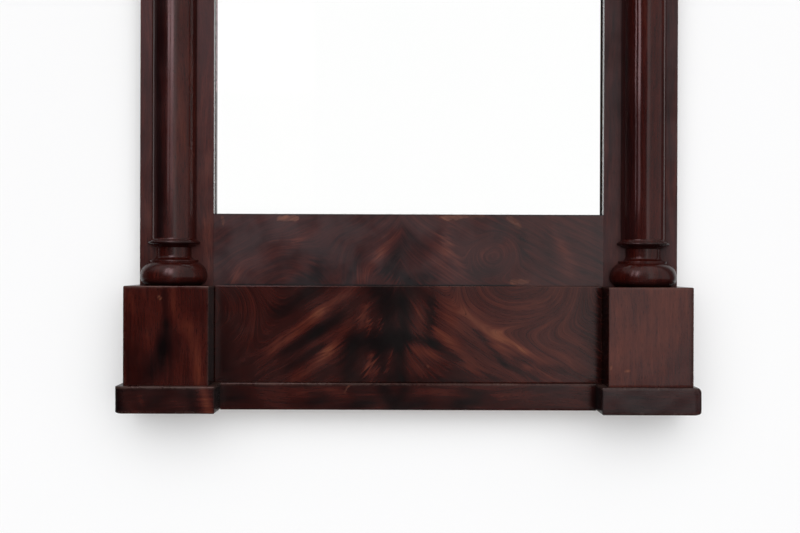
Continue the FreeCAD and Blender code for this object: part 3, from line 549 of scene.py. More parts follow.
def flares(u, v, strokes, crisp=False):
    """The sum of soft strokes: each runs between two points and fades with distance from that line."""
    total = np.zeros(np.broadcast(u, v).shape)
    for start_u, start_v, end_u, end_v, width, change in strokes:
        run_u = end_u - start_u
        run_v = end_v - start_v
        run = math.hypot(run_u, run_v)
        along = ((u - start_u) * run_u + (v - start_v) * run_v) / run
        aside = ((u - start_u) * run_v - (v - start_v) * run_u) / run
        beyond = np.maximum(np.abs(along - run / 2) - run / 2, 0.0)
        shape = np.exp(-(aside / width) ** 2 - (beyond / (1.6 * width)) ** 2)
        total += change * (ease(shape, 0.2, 0.7) if crisp else shape)
    return total


def chipped(u, v, chips):
    """How far the polish is chipped or patched: crisp strokes with ragged edges."""
    ragged_u = u + ripple(u, v, 9.0, 41) * 0.9
    ragged_v = v + ripple(u, v, 6.0, 42) * 0.5
    return np.clip(flares(ragged_u, ragged_v, chips, crisp=True), 0.0, 1.0)


def fields_of(across, along, tone, seed, chip=0.0, bloom=0.0):
    """The fields that the mahogany reads: grain place, tone, chips, and a milky haze that is partly old
    polish and partly painted sheen.
    """
    zero = np.zeros(across.shape)
    grain = np.stack([across * MM, along * MM, zero + seed * 7.3], axis=-1)
    return {"grain": grain, "tone": tone + zero, "chip": chip + zero, "bloom": bloom + zero}


def flame_sheet(seed, strokes, base, swirls, spine, chips=(), bloom=(0.0, 0.0), turn_over=1, lines=()):
    """The figure of a flame veneer: feathered flares each side of a dark spine, swirls at its ends.

    The grain lines are level lines of height plus a slope that is steep at the spine and flattens
    away from it; near a swirl they are circles about its middle. Each stroke is drawn out along the
    grain by a distance that changes from line to line, which feathers its edges; the lines of painted
    shade in corners stay straight.
    The haze at the left and right ends is partly dull old polish and partly painted sheen.
    """
    spine_u, steepness, fade, slope = spine

    def figure(u, v):
        v = v * turn_over
        bent_u = u + ripple(u, v, 75.0, seed) * 2.0
        bent_v = v + ripple(u, v, 60.0, seed + 2) * 2.0
        from_spine = np.abs(bent_u - spine_u)
        across = bent_v + steepness * (1 - np.exp(-from_spine / fade)) + slope * from_spine
        for swirl_u, swirl_v, reach in swirls:
            radius = np.hypot(bent_u - swirl_u, (bent_v - swirl_v) * 1.25)
            share = ease(radius, reach, reach * 0.45)
            across = across * (1 - share) + radius * share
        slope_v, slope_u = np.gradient(across)
        feather = ripple(across, across, 6.0, seed + 6) * 5.0 / (np.hypot(slope_u, slope_v) + 1e-9)
        tone = base(u) + flares(u - slope_v * feather, v + slope_u * feather, strokes) + flares(u, v, lines)
        # Haze from the left end to the right, partly old polish and partly painted sheen
        film_and_sheen = bloom[0] + (bloom[1] - bloom[0]) * ease(u, -40, 150)
        return fields_of(across, bent_u * 0.8 + bent_v * 0.5, tone, seed, chipped(u, v, chips), film_and_sheen)

    return figure


def straight_sheet(seed, base, strokes=(), bloom=0.0):
    """The figure of a plain veneer with grain up its length."""
    def figure(u, v):
        across = u + ripple(u, v, 160.0, seed) * 3.0
        tone = base + flares(u, v, strokes) + ripple(u, v * 0.25, 45.0, seed + 1) * 0.05
        return fields_of(across, v, tone, seed, 0.0, bloom)

    return figure


def carried_figure(seed, base, upright, strokes=(), chips=(), bloom=0.0):
    """The figure of a moulding or turned piece: grain up the piece or along its run."""
    def figure(u, v, along, up):
        wander = ripple(along, up * 0.3, 70.0, seed) * 2.0
        tone = base + flares(u, v, strokes) + ripple(along * 0.4, up * 0.25, 30.0, seed + 1) * 0.06
        across, down = (along, up) if upright else (up, along)
        return fields_of(across + wander, down, tone, seed, chipped(u, v, chips), bloom)

    return figure


# Flame veneers: flares, and a few strokes of painted shade, as start, end, width and change of tone,
# in millimetres from the sheet's middle
PANEL_FLARES_AND_SHADE = (
    (-60, 48, -96, 20, 7.5, 0.20), (-96, 20, -138, -16, 6.5, 0.27), (-70, 40, -91, 31, 6, 0.14),
    (-75, 16, -96, 3, 5.5, -0.30), (-96, 3, -132, -19, 5.5, -0.34), (-94, -15, -127, -38, 3.5, -0.26),
    (-83, 4, -109, -15, 2.5, 0.06), (-66, 2, -86, -20, 7, 0.22), (-86, -20, -119, -47, 7.5, 0.26),
    (-106, 45, -135, 25, 8, -0.28), (-155, 41, -148, 5, 14, 0.05), (-197, 5, -195, -48, 12, -0.12),
    (-171, -23, -163, -46, 8, -0.08), (-193, 28, -178, 27, 7, 0.07), (-30, 50, -13, 37, 12, -0.22),
    (2, 51, 16, 39, 7, -0.20), (-26, 33, -17, 0, 11, -0.28), (-5, 37, -4, -6, 6, -0.24),
    (-51, -6, -17, -8, 10, -0.30), (-60, -12, -64, -48, 9, -0.30), (-32, -12, -26, -33, 8, -0.28),
    (-9, -11, -8, -50, 7, -0.30), (-49, -46, -13, -48, 5, -0.20), (-42, 15, -41, 0, 1.8, 0.30),
    (-30, 15, -30, -1, 1.8, 0.30), (-46, 27, -49, 13, 4, 0.24), (-39, -25, -42, -37, 3.4, 0.34),
    (-35, -41, -39, -46, 4, 0.26), (-17, -19, -25, -44, 1.6, 0.30), (-13, 15, -11, 7, 3, 0.16),
    (12, 31, 10, 3, 7, 0.20), (25, 35, 23, 7, 3.6, -0.30), (40, 47, 46, 5, 12, 0.18),
    (3, -3, 27, -10, 4.2, -0.36), (27, -10, 50, -24, 5, -0.30), (8, -16, 24, -20, 8, 0.30),
    (6, -33, 29, -37, 6, 0.10), (31, 0, 71, -38, 7, 0.24), (61, 23, 94, -6, 9, 0.22),
    (-1, -48, 65, -50, 3.5, -0.22), (49, -39, 96, -48, 4, -0.18), (73, 2, 101, -30, 3.2, -0.26),
    (101, -30, 133, -46, 3.4, -0.26), (94, -1, 122, -17, 4.5, 0.14), (122, -17, 168, -35, 4.5, 0.13),
    (118, -26, 125, -28, 4.5, -0.20), (122, -34, 130, -36, 2.5, 0.14), (143, -36, 162, -37, 4, -0.14),
    (165, -39, 202, -46, 6, -0.12), (186, 37, 194, -27, 8, -0.08), (151, 33, 156, 24, 6, -0.08),
    # Painted shade at the right end, beside the right block
    (204, 56, 204, -56, 5, -0.35),
)
RAIL_FLARES = (
    (-96, 20, -118, 9, 4, 0.13), (-118, 9, -145, -8, 4.5, 0.12), (-155, -3, -179, -22, 9, 0.10),
    (-185, -31, -183, -25, 4, 0.20), (-158, -22, -161, -34, 6, 0.08), (-106, -10, -101, -9, 4, 0.12),
    (-118, -21, -127, -27, 4.5, 0.14), (-95, -13, -98, -29, 7, -0.24), (-98, -29, -115, -34, 6, -0.22),
    (-153, 14, -166, 3, 7, -0.18), (-172, 22, -179, 17, 7, -0.10), (-126, -9, -135, -12, 7, -0.10),
    (-194, -5, -195, -18, 7, -0.10), (-12, 15, -29, -3, 6, 0.17), (-29, -3, -47, -28, 7, 0.22),
    (-54, -10, -64, -32, 4, -0.24), (-67, 26, -75, -22, 5, -0.06), (1, 17, 13, 3, 8, -0.16),
    (-5, 6, -16, -15, 7, -0.20), (-21, -23, -2, -32, 6, -0.34), (7, -34, 19, -29, 6, -0.30),
    (-11, -13, -5, -24, 8, -0.14), (40, 22, 38, -5, 5, 0.13), (40, 9, 57, -22, 4, 0.15),
    (21, -5, 46, -31, 4, 0.10), (29, 4, 40, -3, 4, 0.12), (7, 35, 33, 33, 3, 0.06),
    (82, -3, 95, -1, 6, 0.12), (103, 6, 109, 6, 5, 0.09), (98, 27, 96, 16, 7, -0.14),
    (120, 14, 122, -1, 5, -0.18), (72, -24, 86, -22, 8, -0.15), (150, 26, 163, 4, 6, 0.10),
    (163, 4, 171, -18, 6, 0.12), (149, -9, 152, -18, 6, -0.10), (148, 16, 149, 7, 5, -0.10),
    (186, -13, 188, -28, 6, -0.08), (201, 31, 202, -32, 7, -0.10),
)
# Painted shade: dark lines in the corners where the rail meets the glass and the panel
RAIL_SHADE_LINES = ((-207, 38, 207, 38, 0.9, -0.40), (-194, -38, 112, -38, 1.2, -0.60))
STRIP_FLARES_AND_SHADE = (
    (-145, -1, -114, 3, 6, 0.13), (-114, 3, -95, 9, 4, 0.10), (-83, 7, -68, 3, 4.5, 0.20),
    (-101, -7, -91, -4, 4, -0.12), (-51, -7, -40, -5, 5, -0.28), (-24, 5, -17, -8, 8, -0.28),
    (-9, -3, -5, 5, 6, -0.20), (14, 7, 39, 4, 6, 0.14), (1, -8, 16, -5, 5, -0.20),
    (56, -7, 69, -3, 7, -0.30), (60, 8, 75, 3, 4, -0.18), (83, 2, 91, -3, 3, -0.14),
    (96, 2, 117, 4, 7, 0.10), (110, 0, 190, 0, 40, 0.05), (-196, 1, -181, -1, 8, -0.16),
    # Painted shade at the right end, beside the right foot
    (198, 14, 198, -14, 6, -0.35),
)
# Old chips and patches of the polish, in the same way
RAIL_CHIPS = (
    (-135, 33.4, -121, 33.4, 3.0, 0.85), (-198, 33, -197, 28, 1.8, 0.3), (36, 35.6, 78, 36.4, 1.9, 0.34),
    (40, 34, 54, 34.4, 2.6, 0.36), (108, 33, 116, 27, 3.4, 0.32), (112, -33.5, 125, -33, 2.8, 0.38),
)
PANEL_CHIPS = ((20, -33, 21, -34.5, 0.9, 0.5),)
STRIP_CHIPS = ((-61.4, 12.3, -66.7, 5.0, 0.7, 0.4),)


def panel_tone(u):
    """Brighter towards the right end."""
    return 0.465 + 0.15 * ease(u, -20, 130)


def rail_tone(u):
    """Nearly even, a little brighter in the middle and right."""
    return 0.475 + 0.055 * ease(u, -100, 40)


# Each with its swirls, as middle and reach, and its spine, as place, steepness, fade and slope
PANEL_FIGURE = (PANEL_FLARES_AND_SHADE, panel_tone, ((116, 60, 90), (-240, 25, 120)), (-12, 26, 16, 0.6))
RAIL_FIGURE = (RAIL_FLARES, rail_tone, ((90, -6, 34), (-128, -52, 100)), (-8, 22, 18, 0.5))
UPPER_BLOOM_AND_SHEEN = (0.012, 0.012)
lid("base_panel_veneer", FRONT, 0.8 * MM, 1.0 * MM, flame_sheet(11, *PANEL_FIGURE, PANEL_CHIPS), VENEER, 0.3)
lid("bottom_rail_veneer", FRONT, 0.2 * MM, 1.0 * MM,
    flame_sheet(23, *RAIL_FIGURE, RAIL_CHIPS, (0.018, 0.009), lines=RAIL_SHADE_LINES), VENEER, 0.0)
lid("top_rail_veneer", FRONT, 0.2 * MM, 1.5 * MM,
    flame_sheet(37, *RAIL_FIGURE, bloom=UPPER_BLOOM_AND_SHEEN, turn_over=-1), VENEER, 0.1)
lid("frieze_veneer", FRONT, 0.8 * MM, 1.5 * MM,
    flame_sheet(53, *PANEL_FIGURE, bloom=UPPER_BLOOM_AND_SHEEN, turn_over=-1), VENEER, 0.3)

# Straight-grained veneers of the stiles
STILE_LOOKS = {"left": (61, 0.60, ((33, -424, 34, -442, 4, 0.14),), 0.008), "right": (67, 0.53, (), 0.016)}
for hand, (seed, tone, strokes, bloom) in STILE_LOOKS.items():
    lid(f"stile_veneer_{hand}", FRONT, 0.25 * MM, 2.0 * MM, straight_sheet(seed, tone, strokes, bloom),
        DULL_VENEER, 0.15)
    lid(f"edge_veneer_{hand}", (0, SIDES[hand]), 0.3 * MM, 3.0 * MM, straight_sheet(seed + 10, 0.42),
        PLAIN_VENEER, 0.3)


# Turned columns

def arc(middle_r, middle_z, radius, start, end, count):
    """Points of a circle's arc in a profile, from one angle in degrees to another."""
    turn = np.radians(np.linspace(start, end, count))
    return [(middle_r + radius * math.cos(a), middle_z + radius * math.sin(a)) for a in turn]


# Radius and height in millimetres above the block: a torus that swells low down, a fillet and a hollow neck
BASE_PROFILE = (
    [(26.0, 0.02)] + arc(25.2, 9.5, 10.0, -71, 0, 14) + arc(18.4, 9.5, 16.8, 3, 62, 22)
    + [(25.75, 24.5), (25.75, 24.85), (25.95, 25.1), (26.0, 26.4), (25.6, 26.85), (24.0, 26.9)]
    + arc(23.5, 32.1, 5.2, 264, 180, 14) + [(18.3, 34.0), (18.3, 37.0), (18.3, 39.85)]
)
# Collar: a sloping underside, a bead and a small hollow that runs into the shaft
COLLAR_PROFILE = (
    [(18.3, 0.05), (20.6, 0.7), (22.6, 1.7), (24.2, 2.7), (25.4, 3.3), (26.2, 3.45)]
    + arc(26.0, 5.1, 1.68, -75, 84, 14) + [(25.95, 7.1), (25.9, 7.45)] + arc(26.0, 10.0, 2.5, 262, 181, 10)
)


def lifted(node, profile, hung):
    """A profile in metres that stands on the foot of its node, or hangs from its head."""
    low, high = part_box(node)
    if hung:
        return [(r * MM, high.z - z * MM) for r, z in profile[::-1]]
    return [(r * MM, low.z + z * MM) for r, z in profile]


# The turned parts of a column, and whether each hangs from the head
TURNED_PARTS = (
    ("column_base", BASE_PROFILE, False), ("column_collar", COLLAR_PROFILE, False),
    ("column_capital", BASE_PROFILE, True), ("capital_collar", COLLAR_PROFILE, True),
)
# Each shaft has painted shade up its left flank, a dark stroke in its tone
COLUMN_LOOKS = {"left": (101, 0.56, ((-11, 450, -11, -450, 7.5, -0.40),)),
                "right": (131, 0.52, ((-19, 450, -19, -450, 8, -0.16),))}
for hand, (seed, tone, strokes) in COLUMN_LOOKS.items():
    shaft = f"column_shaft_{hand}"
    low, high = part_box(shaft)
    straight = [((high.x - low.x) / 2, z) for z in np.linspace(low.z, high.z, 240)]
    figure = carried_figure(seed, tone, True, strokes, bloom=0.003)
    turned(shaft, straight, figure, SHAFTS[hand], 0.05 * MM, seed)
    # Each of the other parts has painted shade at its end towards the block, a dark stroke in its tone
    for part, profile, hung in TURNED_PARTS:
        node = f"{part}_{hand}"
        v, width, change = (1.8, 2.8, -0.34) if "collar" in part else (20, 4.5, -0.5)
        v = v if hung else -v
        figure = carried_figure(seed + 3, tone - 0.06, True, ((-40, v, 40, v, width, change),))
        turned(node, lifted(node, profile, hung), figure, TURNED, 0.04 * MM, seed + 7)


# Blocks, feet, strip and cornice

def round_profile(low, high, low_round, high_round, low_wear_and_sheen, high_wear_and_sheen, steps=7):
    """A straight side with a quarter round inwards at its foot and head, and each row's share of paler edge
    colour, rubbed polish and painted highlight.
    """
    turn = np.linspace(0.0, QUARTER, steps)
    foot = [(low_round * (np.cos(a) - 1), low + low_round * (1 - np.sin(a))) for a in turn[::-1]]
    head = [(high_round * (np.cos(a) - 1), high - high_round * (1 - np.sin(a))) for a in turn]
    count = max(3, round((high - low) / (2.0 * MM)))
    side = [(0.0, z) for z in np.linspace(low + low_round, high - high_round, count)[1:-1]]
    worn_and_lit = np.concatenate([np.full(steps, low_wear_and_sheen), np.zeros(len(side)), np.full(steps, high_wear_and_sheen)])
    return foot + side + head, worn_and_lit


def corner_path(node, side, sink=0.0):
    """The plan path round a block or foot, from the wall or frame round its front, and its back corners.

    A veneer's back sinks a hair in from the wall, where its core shows.
    """
    low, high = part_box(node)
    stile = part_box("stile_left")[0]
    if side < 0:
        path = [(low.x, 0.0), (low.x, low.y), (high.x, low.y), (high.x, stile.y)]
        return path, [(stile.x, stile.y), (stile.x, -sink)]
    path = [(low.x, stile.y), (low.x, low.y), (high.x, low.y), (high.x, 0.0)]
    return path, [(-stile.x, -sink), (-stile.x, stile.y)]


def hand_made(node, side, head_round, heel_round, uneven, seed):
    """How a block's points move from their plain shape.

    Its outer end draws in by r - sqrt(r^2 - d^2) where a point lies d into the round of the head or heel,
    and its face wavers a little away from the wall.
    """
    low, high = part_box(node)
    outer = high.x if side > 0 else low.x

    def shift(points, along, up):
        above = np.clip(points[..., 2] - (high.z - head_round), 0.0, head_round)
        below = np.clip((low.z + heel_round) - points[..., 2], 0.0, heel_round)
        inset = (head_round - np.sqrt(head_round ** 2 - above ** 2)
                 + heel_round - np.sqrt(heel_round ** 2 - below ** 2))
        move = np.zeros(points.shape)
        move[..., 0] = -side * inset * ease(side * (points[..., 0] - outer), -12 * MM, 0.0)
        move[..., 1] = uneven * ripple(along / MM, up / MM, 26.0, seed) * ease(-points[..., 1], 0.0, 12 * MM)
        return move

    return shift


def block(node, side, roundings, edges, wear, ends, uneven, seed, figure, material,
          corner_wear_and_sheen=0.0, sink=0.0):
    """A block or foot carried round a lower or upper corner of the frame.

    roundings are those of its outer and inner upright corners, edges and the shares of paler edge colour,
    rubbed polish and painted highlight, those of its foot and head, and ends the rounds of its outer end
    at the head and heel.
    """
    low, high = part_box(node)
    path, back_corners = corner_path(node, side, sink)
    profile, worn_and_lit = round_profile(low.z, high.z, *edges, *wear)
    shift = hand_made(node, side, *ends, uneven, seed)
    moulding(node, path, roundings[::-side], profile, worn_and_lit, 2.0 * MM, figure, material,
             corner_wear_and_sheen=corner_wear_and_sheen, back_corners=back_corners, shift=shift)


# The first stroke of each block is painted shade on its inner side beside the panel; the last of the right
# block is painted shade on its rounded outer end
BLOCK_FLARES_AND_SHADE = {
    "left": ((44.1, 60, 44.1, -60, 0.7, -0.45), (-36, 41, -35, 28, 4, 0.14), (-14, 36, -12, 20, 8, 0.08),
             (8, 42, 14, 10, 6, 0.16), (24, 8, 34, -40, 8, 0.20), (-20, 0, -17, -10, 5, 0.12),
             (-2, 44, 0, 12, 2.2, -0.20), (0, 10, -2, -12, 5, -0.28), (-4, -16, -12, -34, 10, -0.34),
             (-36, -20, -30, -46, 9, -0.12)),
    "right": ((-44.1, 60, -44.1, -60, 0.7, -0.6), (-34, 30, -34, -16, 6, 0.06), (14, 20, 18, -8, 12, 0.05),
              (-6, 44, -6, 30, 3, -0.10), (24, -26, 10, -46, 18, -0.07), (41, 48, 41, -48, 3, -0.16)),
}
BLOCK_CHIPS = {"left": ((-7, 40, -6.5, 38, 0.8, 0.7),),
               "right": ((-26.5, -34.6, -22.5, -34.2, 1.0, 0.6), (-42.5, -30, -42.5, -33, 1.0, 0.5))}
# The last stroke of each foot is painted shade on its inner side beside the strip; the third of the left foot
# is painted shade on its rounded outer end
FOOT_FLARES_AND_SHADE = {"left": ((40, 11, 45, -10, 6, 0.36), (-24, 3, -22, -3, 3, 0.16), (-49, 14, -48, -14, 7, -0.34),
                        (-36, -4, -30, -10, 5, 0.12), (-6, 2, 2, 6, 6, -0.12), (12, -2, 20, -9, 6, 0.10),
                        (28, 6, 30, -12, 4, -0.14), (51.6, 14, 51.6, -14, 0.7, -0.4)),
               "right": ((-42, 0, -36, 4, 8, 0.06), (-51.6, 14, -51.6, -14, 0.7, -0.4))}
BLOCK_LOOKS = {"left": (151, 0.53, 0.40, 2.0 * MM, 1.5 * MM, 1.5 * MM, 0.35 * MM, 0.0),
               "right": (157, 0.69, 0.38, 3.5 * MM, 5.7 * MM, 3.0 * MM, 0.15 * MM, 0.008)}
# Rounds and shares of paler edge colour, rubbed polish and painted highlight, of a plinth block's foot
# and head, and the rounds of its outer end at head and heel
BLOCK_EDGES = (0.3 * MM, 0.9 * MM)
BLOCK_WEAR_AND_SHEEN = (0.0, 0.3)
BLOCK_ENDS = (1.2 * MM, 0.3 * MM)
for hand, look in BLOCK_LOOKS.items():
    seed, block_tone, foot_tone, block_corner, foot_head, foot_heel, uneven, film_and_sheen = look
    side = SIDES[hand]
    corners = (block_corner, 0.8 * MM)
    # A top block is a plinth block upside down, with a plainer figure
    for name, order, block_seed, figure in (
        ("plinth", 1, seed, carried_figure(seed, block_tone, True, BLOCK_FLARES_AND_SHADE[hand], BLOCK_CHIPS[hand])),
        ("top", -1, seed + 2, carried_figure(seed + 2, 0.48, True)),
    ):
        block(f"{name}_block_veneer_{hand}", side, corners, BLOCK_EDGES[::order], BLOCK_WEAR_AND_SHEEN[::order],
              BLOCK_ENDS[::order], 0.06 * MM, block_seed, figure, PLAIN_VENEER, 0.1, 0.1 * MM)
    figure = carried_figure(seed + 20, foot_tone, False, FOOT_FLARES_AND_SHADE[hand], bloom=film_and_sheen)
    block(f"plinth_foot_{hand}", side, (9.0 * MM, 0.7 * MM), (2.0 * MM, 1.2 * MM), (0.1, 0.3),
          (foot_head, foot_heel), uneven, seed + 30, figure, SOLID)

low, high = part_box("base_strip_veneer")
profile, worn_and_lit = round_profile(low.z, high.z, 0.4 * MM, 1.0 * MM, 0.0, 0.25)
shelf = low.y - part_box("base_panel_veneer")[0].y
core_face = low.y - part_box("base_strip")[0].y
core_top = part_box("base_strip")[1].z
moulding("base_strip_veneer", [(low.x, low.y), (high.x, low.y)], (), profile + [(shelf, high.z)],
         np.append(worn_and_lit, 0.0), 1.0 * MM, carried_figure(171, 0.43, False, STRIP_FLARES_AND_SHADE, STRIP_CHIPS), VENEER,
         inner=[(shelf, core_top), (core_face, core_top), (core_face, low.z)])

# Cornice mouldings: a step, a hollow and a flat band, mitred at the corners
low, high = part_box("cornice_moulding_front")
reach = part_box("top_block_veneer_right")[1].x
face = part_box("top_block_veneer_left")[0].y
hollow = [(r * MM, low.z + z * MM) for r, z in arc(22.0, 4.0, 20.0, 180, 90, 18)]
cornice_profile = (
    [(0.0, low.z), (1.6 * MM, low.z), (2.0 * MM, low.z + 0.4 * MM)] + hollow
    + [(22.0 * MM, low.z + 24.5 * MM), (22.0 * MM, high.z)]
)
cornice_wear_and_sheen = [0.0, 0.2, 0.3] + [0.0] * 17 + [0.4, 0.3, 0.1]
CORNICE_RUNS = {
    "front": (181, [(-reach, face), (reach, face)], (1, 1)),
    "left": (183, [(-reach, 0.0), (-reach, face)], (0, 1)),
    "right": (187, [(reach, face), (reach, 0.0)], (1, 0)),
}
for place, (seed, run, mitres) in CORNICE_RUNS.items():
    moulding(f"cornice_moulding_{place}", run, (), cornice_profile, cornice_wear_and_sheen, 4 * MM,
             carried_figure(seed, 0.44, False, bloom=0.006), SOLID, mitres=mitres, inner=[(0.0, high.z)])


def board_figure(u, v):
    """Grain along the cornice board."""
    across = v + ripple(u, v, 180.0, 191) * 4.0
    tone = 0.42 + ripple(u, v, 120.0, 192) * 0.05
    return fields_of(across, u, tone, 191, 0.0, 0.006)


lid("cornice_board", (2, 1), 2.0 * MM, 3.0 * MM, board_figure, SOLID)

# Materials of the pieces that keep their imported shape
PINE_UP = pine("pine_upright", (130.0, 130.0, 5.0), True)
PINE_ACROSS = pine("pine_across", (5.0, 130.0, 130.0), True)
PINE_BACK = pine("pine_backboard", (4.0, 95.0, 95.0), False)
node_materials = {
    PINE_UP: both("stile", "plinth_block", "top_block") + ("glass_blocks",),
    PINE_ACROSS: ("bottom_rail", "top_rail", "base_panel", "base_strip", "frieze_panel", "cornice_core"),
    PINE_BACK: ("backboard_bottom", "backboard_middle", "backboard_top"),
    beech(): ("column_dowels", "tenon_pegs"),
    iron(): both("hanger_eye", "hanger_plate") + ("hanger_pins", "hanger_screws", "block_screws",
                                                  "backboard_nails"),
    clear_glass(): ("mirror_glass",),
    silvering(): ("mirror_silvering",),
}
for material, nodes in node_materials.items():
    for node in nodes:
        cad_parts[node].data.materials.clear()
        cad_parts[node].data.materials.append(material)

# The glass is joined at its edges and shrinks a hair clear of its backing, so that light passes between them
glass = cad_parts["mirror_glass"]
glass.modifiers.new("joined", "WELD").merge_threshold = 0.01 * MM
hair = glass.modifiers.new("hair", "DISPLACE")
hair.mid_level = 0.0
hair.strength = -0.09 * MM


# Stage: a white wall behind, a pale floor below, soft light and the photograph's camera

def plane(name, low, high, material):
    """One large upright or level face of the stage, between two opposite corners."""
    points = [low, (high[0], *low[1:]), high, (low[0], *high[1:])]
    mesh = bpy.data.meshes.new(name)
    mesh.from_pydata(points, [], [(0, 1, 2, 3)])
    mesh.materials.append(material)
    stage_piece = add_object(name, mesh)


def looking(graph, path):
    """1 for a ray from the eye, a reflection or glass, and 0 for one that only gathers light."""
    seen = graph.math("MAXIMUM", path["Is Camera Ray"], path["Is Glossy Ray"])
    return graph.math("MAXIMUM", seen, path["Is Transmission Ray"])


def stage_paint(name, colour, glow, gloss):
    """Paint that shows, with its shadow, to what looks at its front, and lets soft light through.

    In the polish it shows at the gloss level close to the frame and is dim away from it.
    """
    material, graph = new_graph(name)
    path = graph.node("ShaderNodeLightPath").outputs
    place = graph.object_place()
    behind = graph.node("ShaderNodeNewGeometry").outputs["Backfacing"]
    seen = graph.math("MULTIPLY", looking(graph, path), graph.math("SUBTRACT", 1.0, behind))
    cloud = graph.noise(place, 2.0)
    tint = graph.mix(graph.remap(cloud, 0.3, 0.7), (*colour, 1.0), (*(part * 0.99 for part in colour), 1.0))
    mirrored = graph.remap(graph.math("ABSOLUTE", graph.parts(place)["X"]), 0.33, 0.37, gloss, gloss * 0.1)
    polish = graph.math("SUBTRACT", path["Is Glossy Ray"], path["Is Transmission Ray"])
    polish = graph.math("MAXIMUM", polish, 0.0)
    level = graph.blend(polish, 1.0, mirrored)
    levels = graph.node("ShaderNodeCombineXYZ", {0: level, 1: level, 2: level}).outputs[0]
    tint = graph.stretched(tint, levels)
    paint = graph.node("ShaderNodeBsdfDiffuse", {"Color": tint}).outputs[0]
    glow = graph.math("MULTIPLY", level, glow)
    shine = graph.node("ShaderNodeEmission", {"Color": (1.0, 1.0, 1.0, 1.0), "Strength": glow}).outputs[0]
    lit = graph.node("ShaderNodeAddShader", {0: paint, 1: shine}).outputs[0]
    clear = graph.node("ShaderNodeBsdfTransparent").outputs[0]
    graph.finish(graph.node("ShaderNodeMixShader", {"Fac": seen, 1: clear, 2: lit}).outputs[0])
    return material


FLOOR_LEVEL = -1.62
FLOOR_REACH = 3.5
WALL_GAP = 0.003
WALL_HEAD = 2.5
STAGE_HALF = 4
plane("stage_wall", (-STAGE_HALF, WALL_GAP, FLOOR_LEVEL), (STAGE_HALF, WALL_GAP, WALL_HEAD),
      stage_paint("stage_wall", (0.94, 0.94, 0.945), glow=0.05, gloss=0.6))
plane("stage_floor", (-STAGE_HALF, -FLOOR_REACH, FLOOR_LEVEL), (STAGE_HALF, FLOOR_REACH, FLOOR_LEVEL),
      stage_paint("stage_floor", (0.84, 0.835, 0.83), glow=0.36, gloss=0.1))

# World: soft light from the upper right; white to the eye and in the mirror, but dimmer far to each side
# where polish shows the mirror; in gloss, a room bright to the right and overhead and dark elsewhere
world = bpy.data.worlds.new("studio")
bpy.context.scene.world = world
world.use_nodes = True
graph = Graph(world.node_tree)
path = graph.node("ShaderNodeLightPath").outputs
heading = graph.parts(graph.node("ShaderNodeTexCoord").outputs["Generated"])
room = graph.math("SUBTRACT", graph.remap(heading["X"], 0.04, 0.16, 0.0, 0.75),
                  graph.remap(heading["X"], 0.25, 0.45, 0.0, 0.4))
room = graph.math("MAXIMUM", room, graph.remap(heading["Z"], 0.3, 0.8, 0.0, 0.5))
room = graph.math("ADD", room, graph.remap(heading["X"], -0.24, -0.15, 0.0, 0.03))
room = graph.math("MULTIPLY", room, graph.remap(heading["Z"], -0.5, -0.2, 0.05, 1.0))
glass_white = graph.remap(graph.math("ABSOLUTE", heading["X"]), 0.4, 0.75, 1.0, 0.1)
glass_white = graph.math("MAXIMUM", glass_white, graph.math("LESS_THAN", path["Glossy Depth"], 1.5))
white_seen = graph.math("MAXIMUM", path["Is Camera Ray"],
                        graph.math("MULTIPLY", path["Is Transmission Ray"], glass_white))
seen_level = graph.math("MAXIMUM", white_seen, graph.math("MULTIPLY", path["Is Glossy Ray"], room))
soft_light = graph.math("MULTIPLY", graph.remap(heading["Z"], -0.7, 0.8, 0.3, 1.7),
                        graph.remap(heading["X"], -0.5, 0.5, 0.88, 1.12))
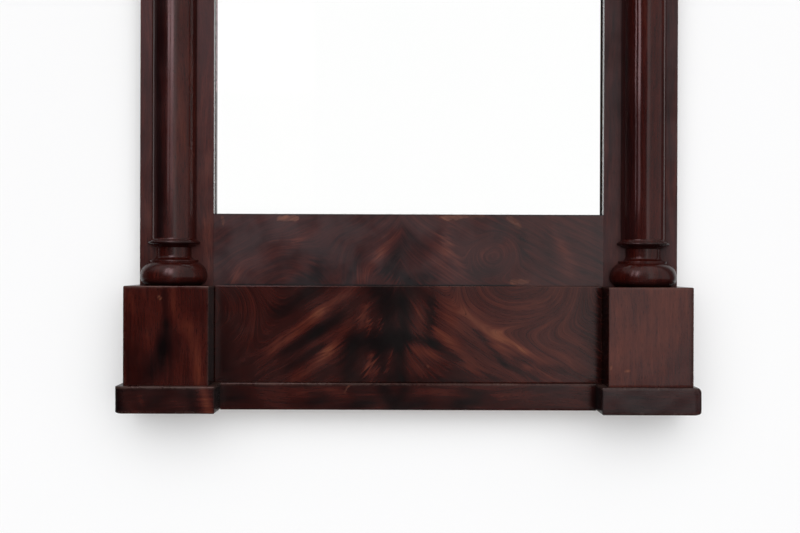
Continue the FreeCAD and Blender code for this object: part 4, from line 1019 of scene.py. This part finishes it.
ahead = graph.math("ADD", graph.remap(heading["Y"], -1.0, -0.4, 1.98, 0.14),
                   graph.remap(heading["Y"], 0.2, 0.9, 0.0, 1.0))
soft_light = graph.math("MULTIPLY", soft_light, ahead)
level = graph.blend(looking(graph, path), soft_light, seen_level)
background = graph.node("ShaderNodeBackground", {"Color": (1.0, 1.0, 1.0, 1.0), "Strength": level})
graph.finish(background.outputs[0], "ShaderNodeOutputWorld")


# Pieces at the sides and head that the panes leave out, because they would glare there
unlit = bpy.data.collections.new("beside_the_panes")
side_nodes = both("edge_veneer", "top_block_veneer", "cornice_moulding")
for node in side_nodes + ("cornice_moulding_front", "cornice_board"):
    unlit.objects.link(bpy.data.objects[f"{node}_polished"])
for entry in unlit.collection_objects:
    entry.light_linking.link_state = "EXCLUDE"


def window_pane(name, place, width, foot, head, brightness):
    """An upright pane of warm light that faces the wall and shows only in the polish."""
    light = bpy.data.lights.new(name, "AREA")
    light.color = (1.0, 0.68, 0.72)
    light.shape = "RECTANGLE"
    light.size = width
    light.size_y = head - foot
    light.energy = brightness * math.pi * width * (head - foot)
    stand = add_object(name, light)
    stand.location = (*place, (head + foot) / 2)
    stand.rotation_euler = (QUARTER, 0.0, 0.0)
    stand.visible_camera = False
    stand.visible_diffuse = False
    stand.visible_transmission = False
    stand.light_linking.receiver_collection = unlit


PANES = (("narrow_pane", (-0.436, -0.59), 0.085, 5.2), ("wide_pane", (-0.274, -0.83), 0.21, 4.1))
PANE_HEAD = 0.1
PANE_BAR = -0.65
PANE_FOOT = -0.86
LOWER_SHARE = 0.35
for name, place, width, brightness in PANES:
    window_pane(f"{name}_upper", place, width, PANE_BAR, PANE_HEAD, brightness)
    window_pane(f"{name}_lower", place, width, PANE_FOOT, PANE_BAR, brightness * LOWER_SHARE)

camera_data = bpy.data.cameras.new("camera")
camera_data.lens = 46.53
camera_data.sensor_width = 36.0
camera = add_object("camera", camera_data)
camera.location = (-0.009, -1.1202, -0.966)
camera.rotation_euler = (math.radians(89.82), math.radians(-0.19), 0.0)
bpy.context.scene.camera = camera
bpy.context.scene.view_settings.view_transform = "Standard"
